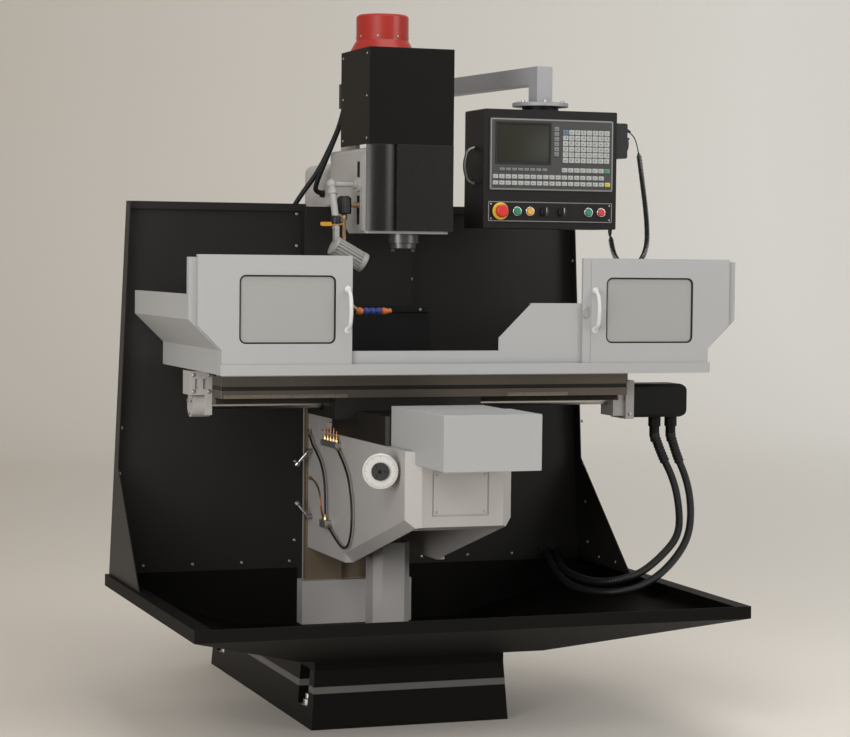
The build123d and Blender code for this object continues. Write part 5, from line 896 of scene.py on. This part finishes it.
bezels = [pad((x, PANEL_Y, BUTTON_Z), SIDEWAYS, FRONT, 2 * BEZEL_R, 2 * BEZEL_R, BEZEL_R,
              np.column_stack([BEZEL_R - BEZEL[:, 1], BEZEL[:, 0]]), 9, closed=True)
          for x in (0.376, 0.421, 0.627, 0.672)]
chrome = coat("chrome_bezel", (0.55, 0.55, 0.54), 0.22, 0.05, 40.0, 0.03, 900.0, 1.0, edge=0.0004)
piece("button_bezels", bezels, chrome, "control_box")
stop_disc = pad((0.318, -0.1210, BUTTON_Z), SIDEWAYS, FRONT, 0.056, 0.056, 0.028,
                [(0, 0), (0.0165, 0), (0.0165, 0.0008), (0.0006, 0.0008), (0, 0.0005)], 14, closed=True)
yellow_disc = coat("stop_disc_yellow", (0.62, 0.42, 0.03), 0.42, 0.04, 30.0, 0.04, 900.0, edge=0.0004)
piece("stop_disc", [stop_disc], yellow_disc, "control_box")
for side, x in (("left", 0.472), ("right", 0.534)):
    pointer = pad((x, -0.1382, BUTTON_Z + 0.005), SIDEWAYS, FRONT, 0.0016, 0.016, 0.0004,
                  [(0, 0), (0, 0.0003)], 2)
    white = coat("pointer_white_" + side, (0.6, 0.6, 0.58), 0.4, 0.03, 60.0, 0.0, 900.0, edge=0.0001)
    piece("knob_pointer_" + side, [pointer], white, "knob_" + side, smooth=False)

# Curly cord: the handwheel unit's coiled lead, hung from the unit's plug and led back up into
# the box's underside. Its turns lie close together, and the cord runs out straight at both ends.

CORD_R = 0.0019
COIL_R = 0.0092 - CORD_R
COIL_PITCH = 0.0048
STRAIGHT_START, STRAIGHT_END, EASE_LENGTH = 0.090, 0.015, 0.020
PLUG_END, BOX_END = (0.776, -0.0675, 1.917), (0.715, -0.0975, 1.585)
curl_route = even(route_line("curly_route", [
    PLUG_END, (0.806, -0.0715, 1.904), (0.820, -0.0815, 1.854), (0.830, -0.0935, 1.752),
    (0.846, -0.1015, 1.620), (0.848, -0.1035, 1.520), (0.806, -0.1035, 1.458), (0.750, -0.1015, 1.470),
    (0.720, -0.0995, 1.520), BOX_END]), COIL_PITCH / 14)
curl_at = reach(curl_route)
ease = np.clip(np.minimum(curl_at - STRAIGHT_START, curl_at[-1] - curl_at - STRAIGHT_END) / EASE_LENGTH, 0, 1)
ease = ease * ease * (3 - 2 * ease)
side_a, side_b = frames(curl_route, (0, 1, 0))
curl_angle = 2 * np.pi * curl_at / COIL_PITCH
swing = (COIL_R * ease)[:, None]
helix = curl_route + swing * (np.cos(curl_angle)[:, None] * side_a + np.sin(curl_angle)[:, None] * side_b)
curl_curve = spline_curve("curly_lead", helix, 2)
curl_curve.bevel_depth = CORD_R
curl_curve.bevel_resolution = 1
curl_curve.use_fill_caps = True
curl_curve.materials.append(hose_black)
curly_lead = bpy.data.objects.new("curly_lead", curl_curve)
scene.collection.objects.link(curly_lead)
ride(curly_lead, "control_box")
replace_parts(curly_lead, "curly_cord")
LEAD_PLUG = [(0, 0.004), (0, 0.0068), (0.010, 0.0062), (0.022, 0.0036), (0.022, 0.002)]
piece("lead_reliefs", [turned(LEAD_PLUG, PLUG_END, (0.9, -0.1, -0.35), 16),
                       turned(LEAD_PLUG, (0.715, -0.0975, 1.5852), (0, 0, -1), 16)], black_plastic,
      "control_box")

# Table motor cables: two heavy ribbed hoses in a long loop from the motor down to the back panel.
# Each is cut in three lengths.

CABLE_R = 0.0122
SERVO_CABLES = {
    "outer": [(0.992, 0, 0.902), (1.006, -0.006, 0.842), (1.042, -0.034, 0.742), (1.038, -0.078, 0.644),
              (0.998, -0.138, 0.556), (0.894, -0.222, 0.482), (0.780, -0.290, 0.434), (0.692, -0.300, 0.412),
              (0.626, -0.220, 0.402), (0.604, -0.060, 0.402), (0.642, 0.160, 0.426), (0.711, 0.400, 0.456),
              (0.711, 0.429, 0.456)],
    "inner": [(0.932, 0, 0.902), (0.952, -0.002, 0.842), (0.998, -0.024, 0.742), (1.000, -0.066, 0.640),
              (0.966, -0.130, 0.566), (0.868, -0.206, 0.510), (0.770, -0.262, 0.466), (0.694, -0.268, 0.446),
              (0.642, -0.204, 0.432), (0.634, -0.060, 0.428), (0.662, 0.160, 0.434), (0.752, 0.400, 0.456),
              (0.752, 0.429, 0.456)]}
CABLE_CUTS = (0.672, 0.540)
CABLE_SIDE = (-0.6, 0, 0.8)
SLEEVE_LENGTH = 0.105


def follow(obj):
    """Bakes a length of cable's placement into its points."""
    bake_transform(obj)


cable_black = coat("cable_black", (0.0080, 0.0080, 0.0082), 0.42, 0.15, 40.0, 0.1, 900.0, specular=0.3,
                   edge=0.0003)
for name, route in SERVO_CABLES.items():
    line = even(route_line("cable_" + name, route), 0.0022)
    cuts = [0, *(np.argmax(line[:, 2] < z) for z in CABLE_CUTS), len(line) - 1]
    wave = ripple(line, CABLE_R, 0.0088, 0.0006)
    for i in range(3):
        span, radii = (values[cuts[i]:cuts[i + 1] + 1] for values in (line, wave))
        cable = add_mesh(f"servo_cable_{name}_{i + 1}", pipe(span, radii, CABLE_SIDE, 18), cable_black)
        follow(cable)
        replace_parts(cable, "x_servo_cables")
    stub_line = line[reach(line) < SLEEVE_LENGTH]
    ribs = ripple(stub_line, 0.0158, 0.0110, 0.0011)
    follow(add_mesh("motor_sleeve_" + name, pipe(stub_line, ribs, CABLE_SIDE, 20), cable_black))
    motor_nut = [(0, 0.012), (0, 0.0175), (0.012, 0.0175), (0.013, 0.0160), (0.026, 0.0160), (0.030, 0.0130)]
    piece("motor_gland_" + name, [turned(motor_nut, (route[0][0], 0, 0.9025), (0.12, -0.02, -1), 16)],
          black_plastic, "table")
    wall_nut = [(0, 0.012), (0, 0.0185), (0.010, 0.0185), (0.011, 0.0165), (0.022, 0.0160), (0.026, 0.0128)]
    piece("panel_gland_" + name, [turned(wall_nut, (route[-1][0], 0.4299, route[-1][2]), (0, -1, 0), 16)],
          black_plastic, "column")
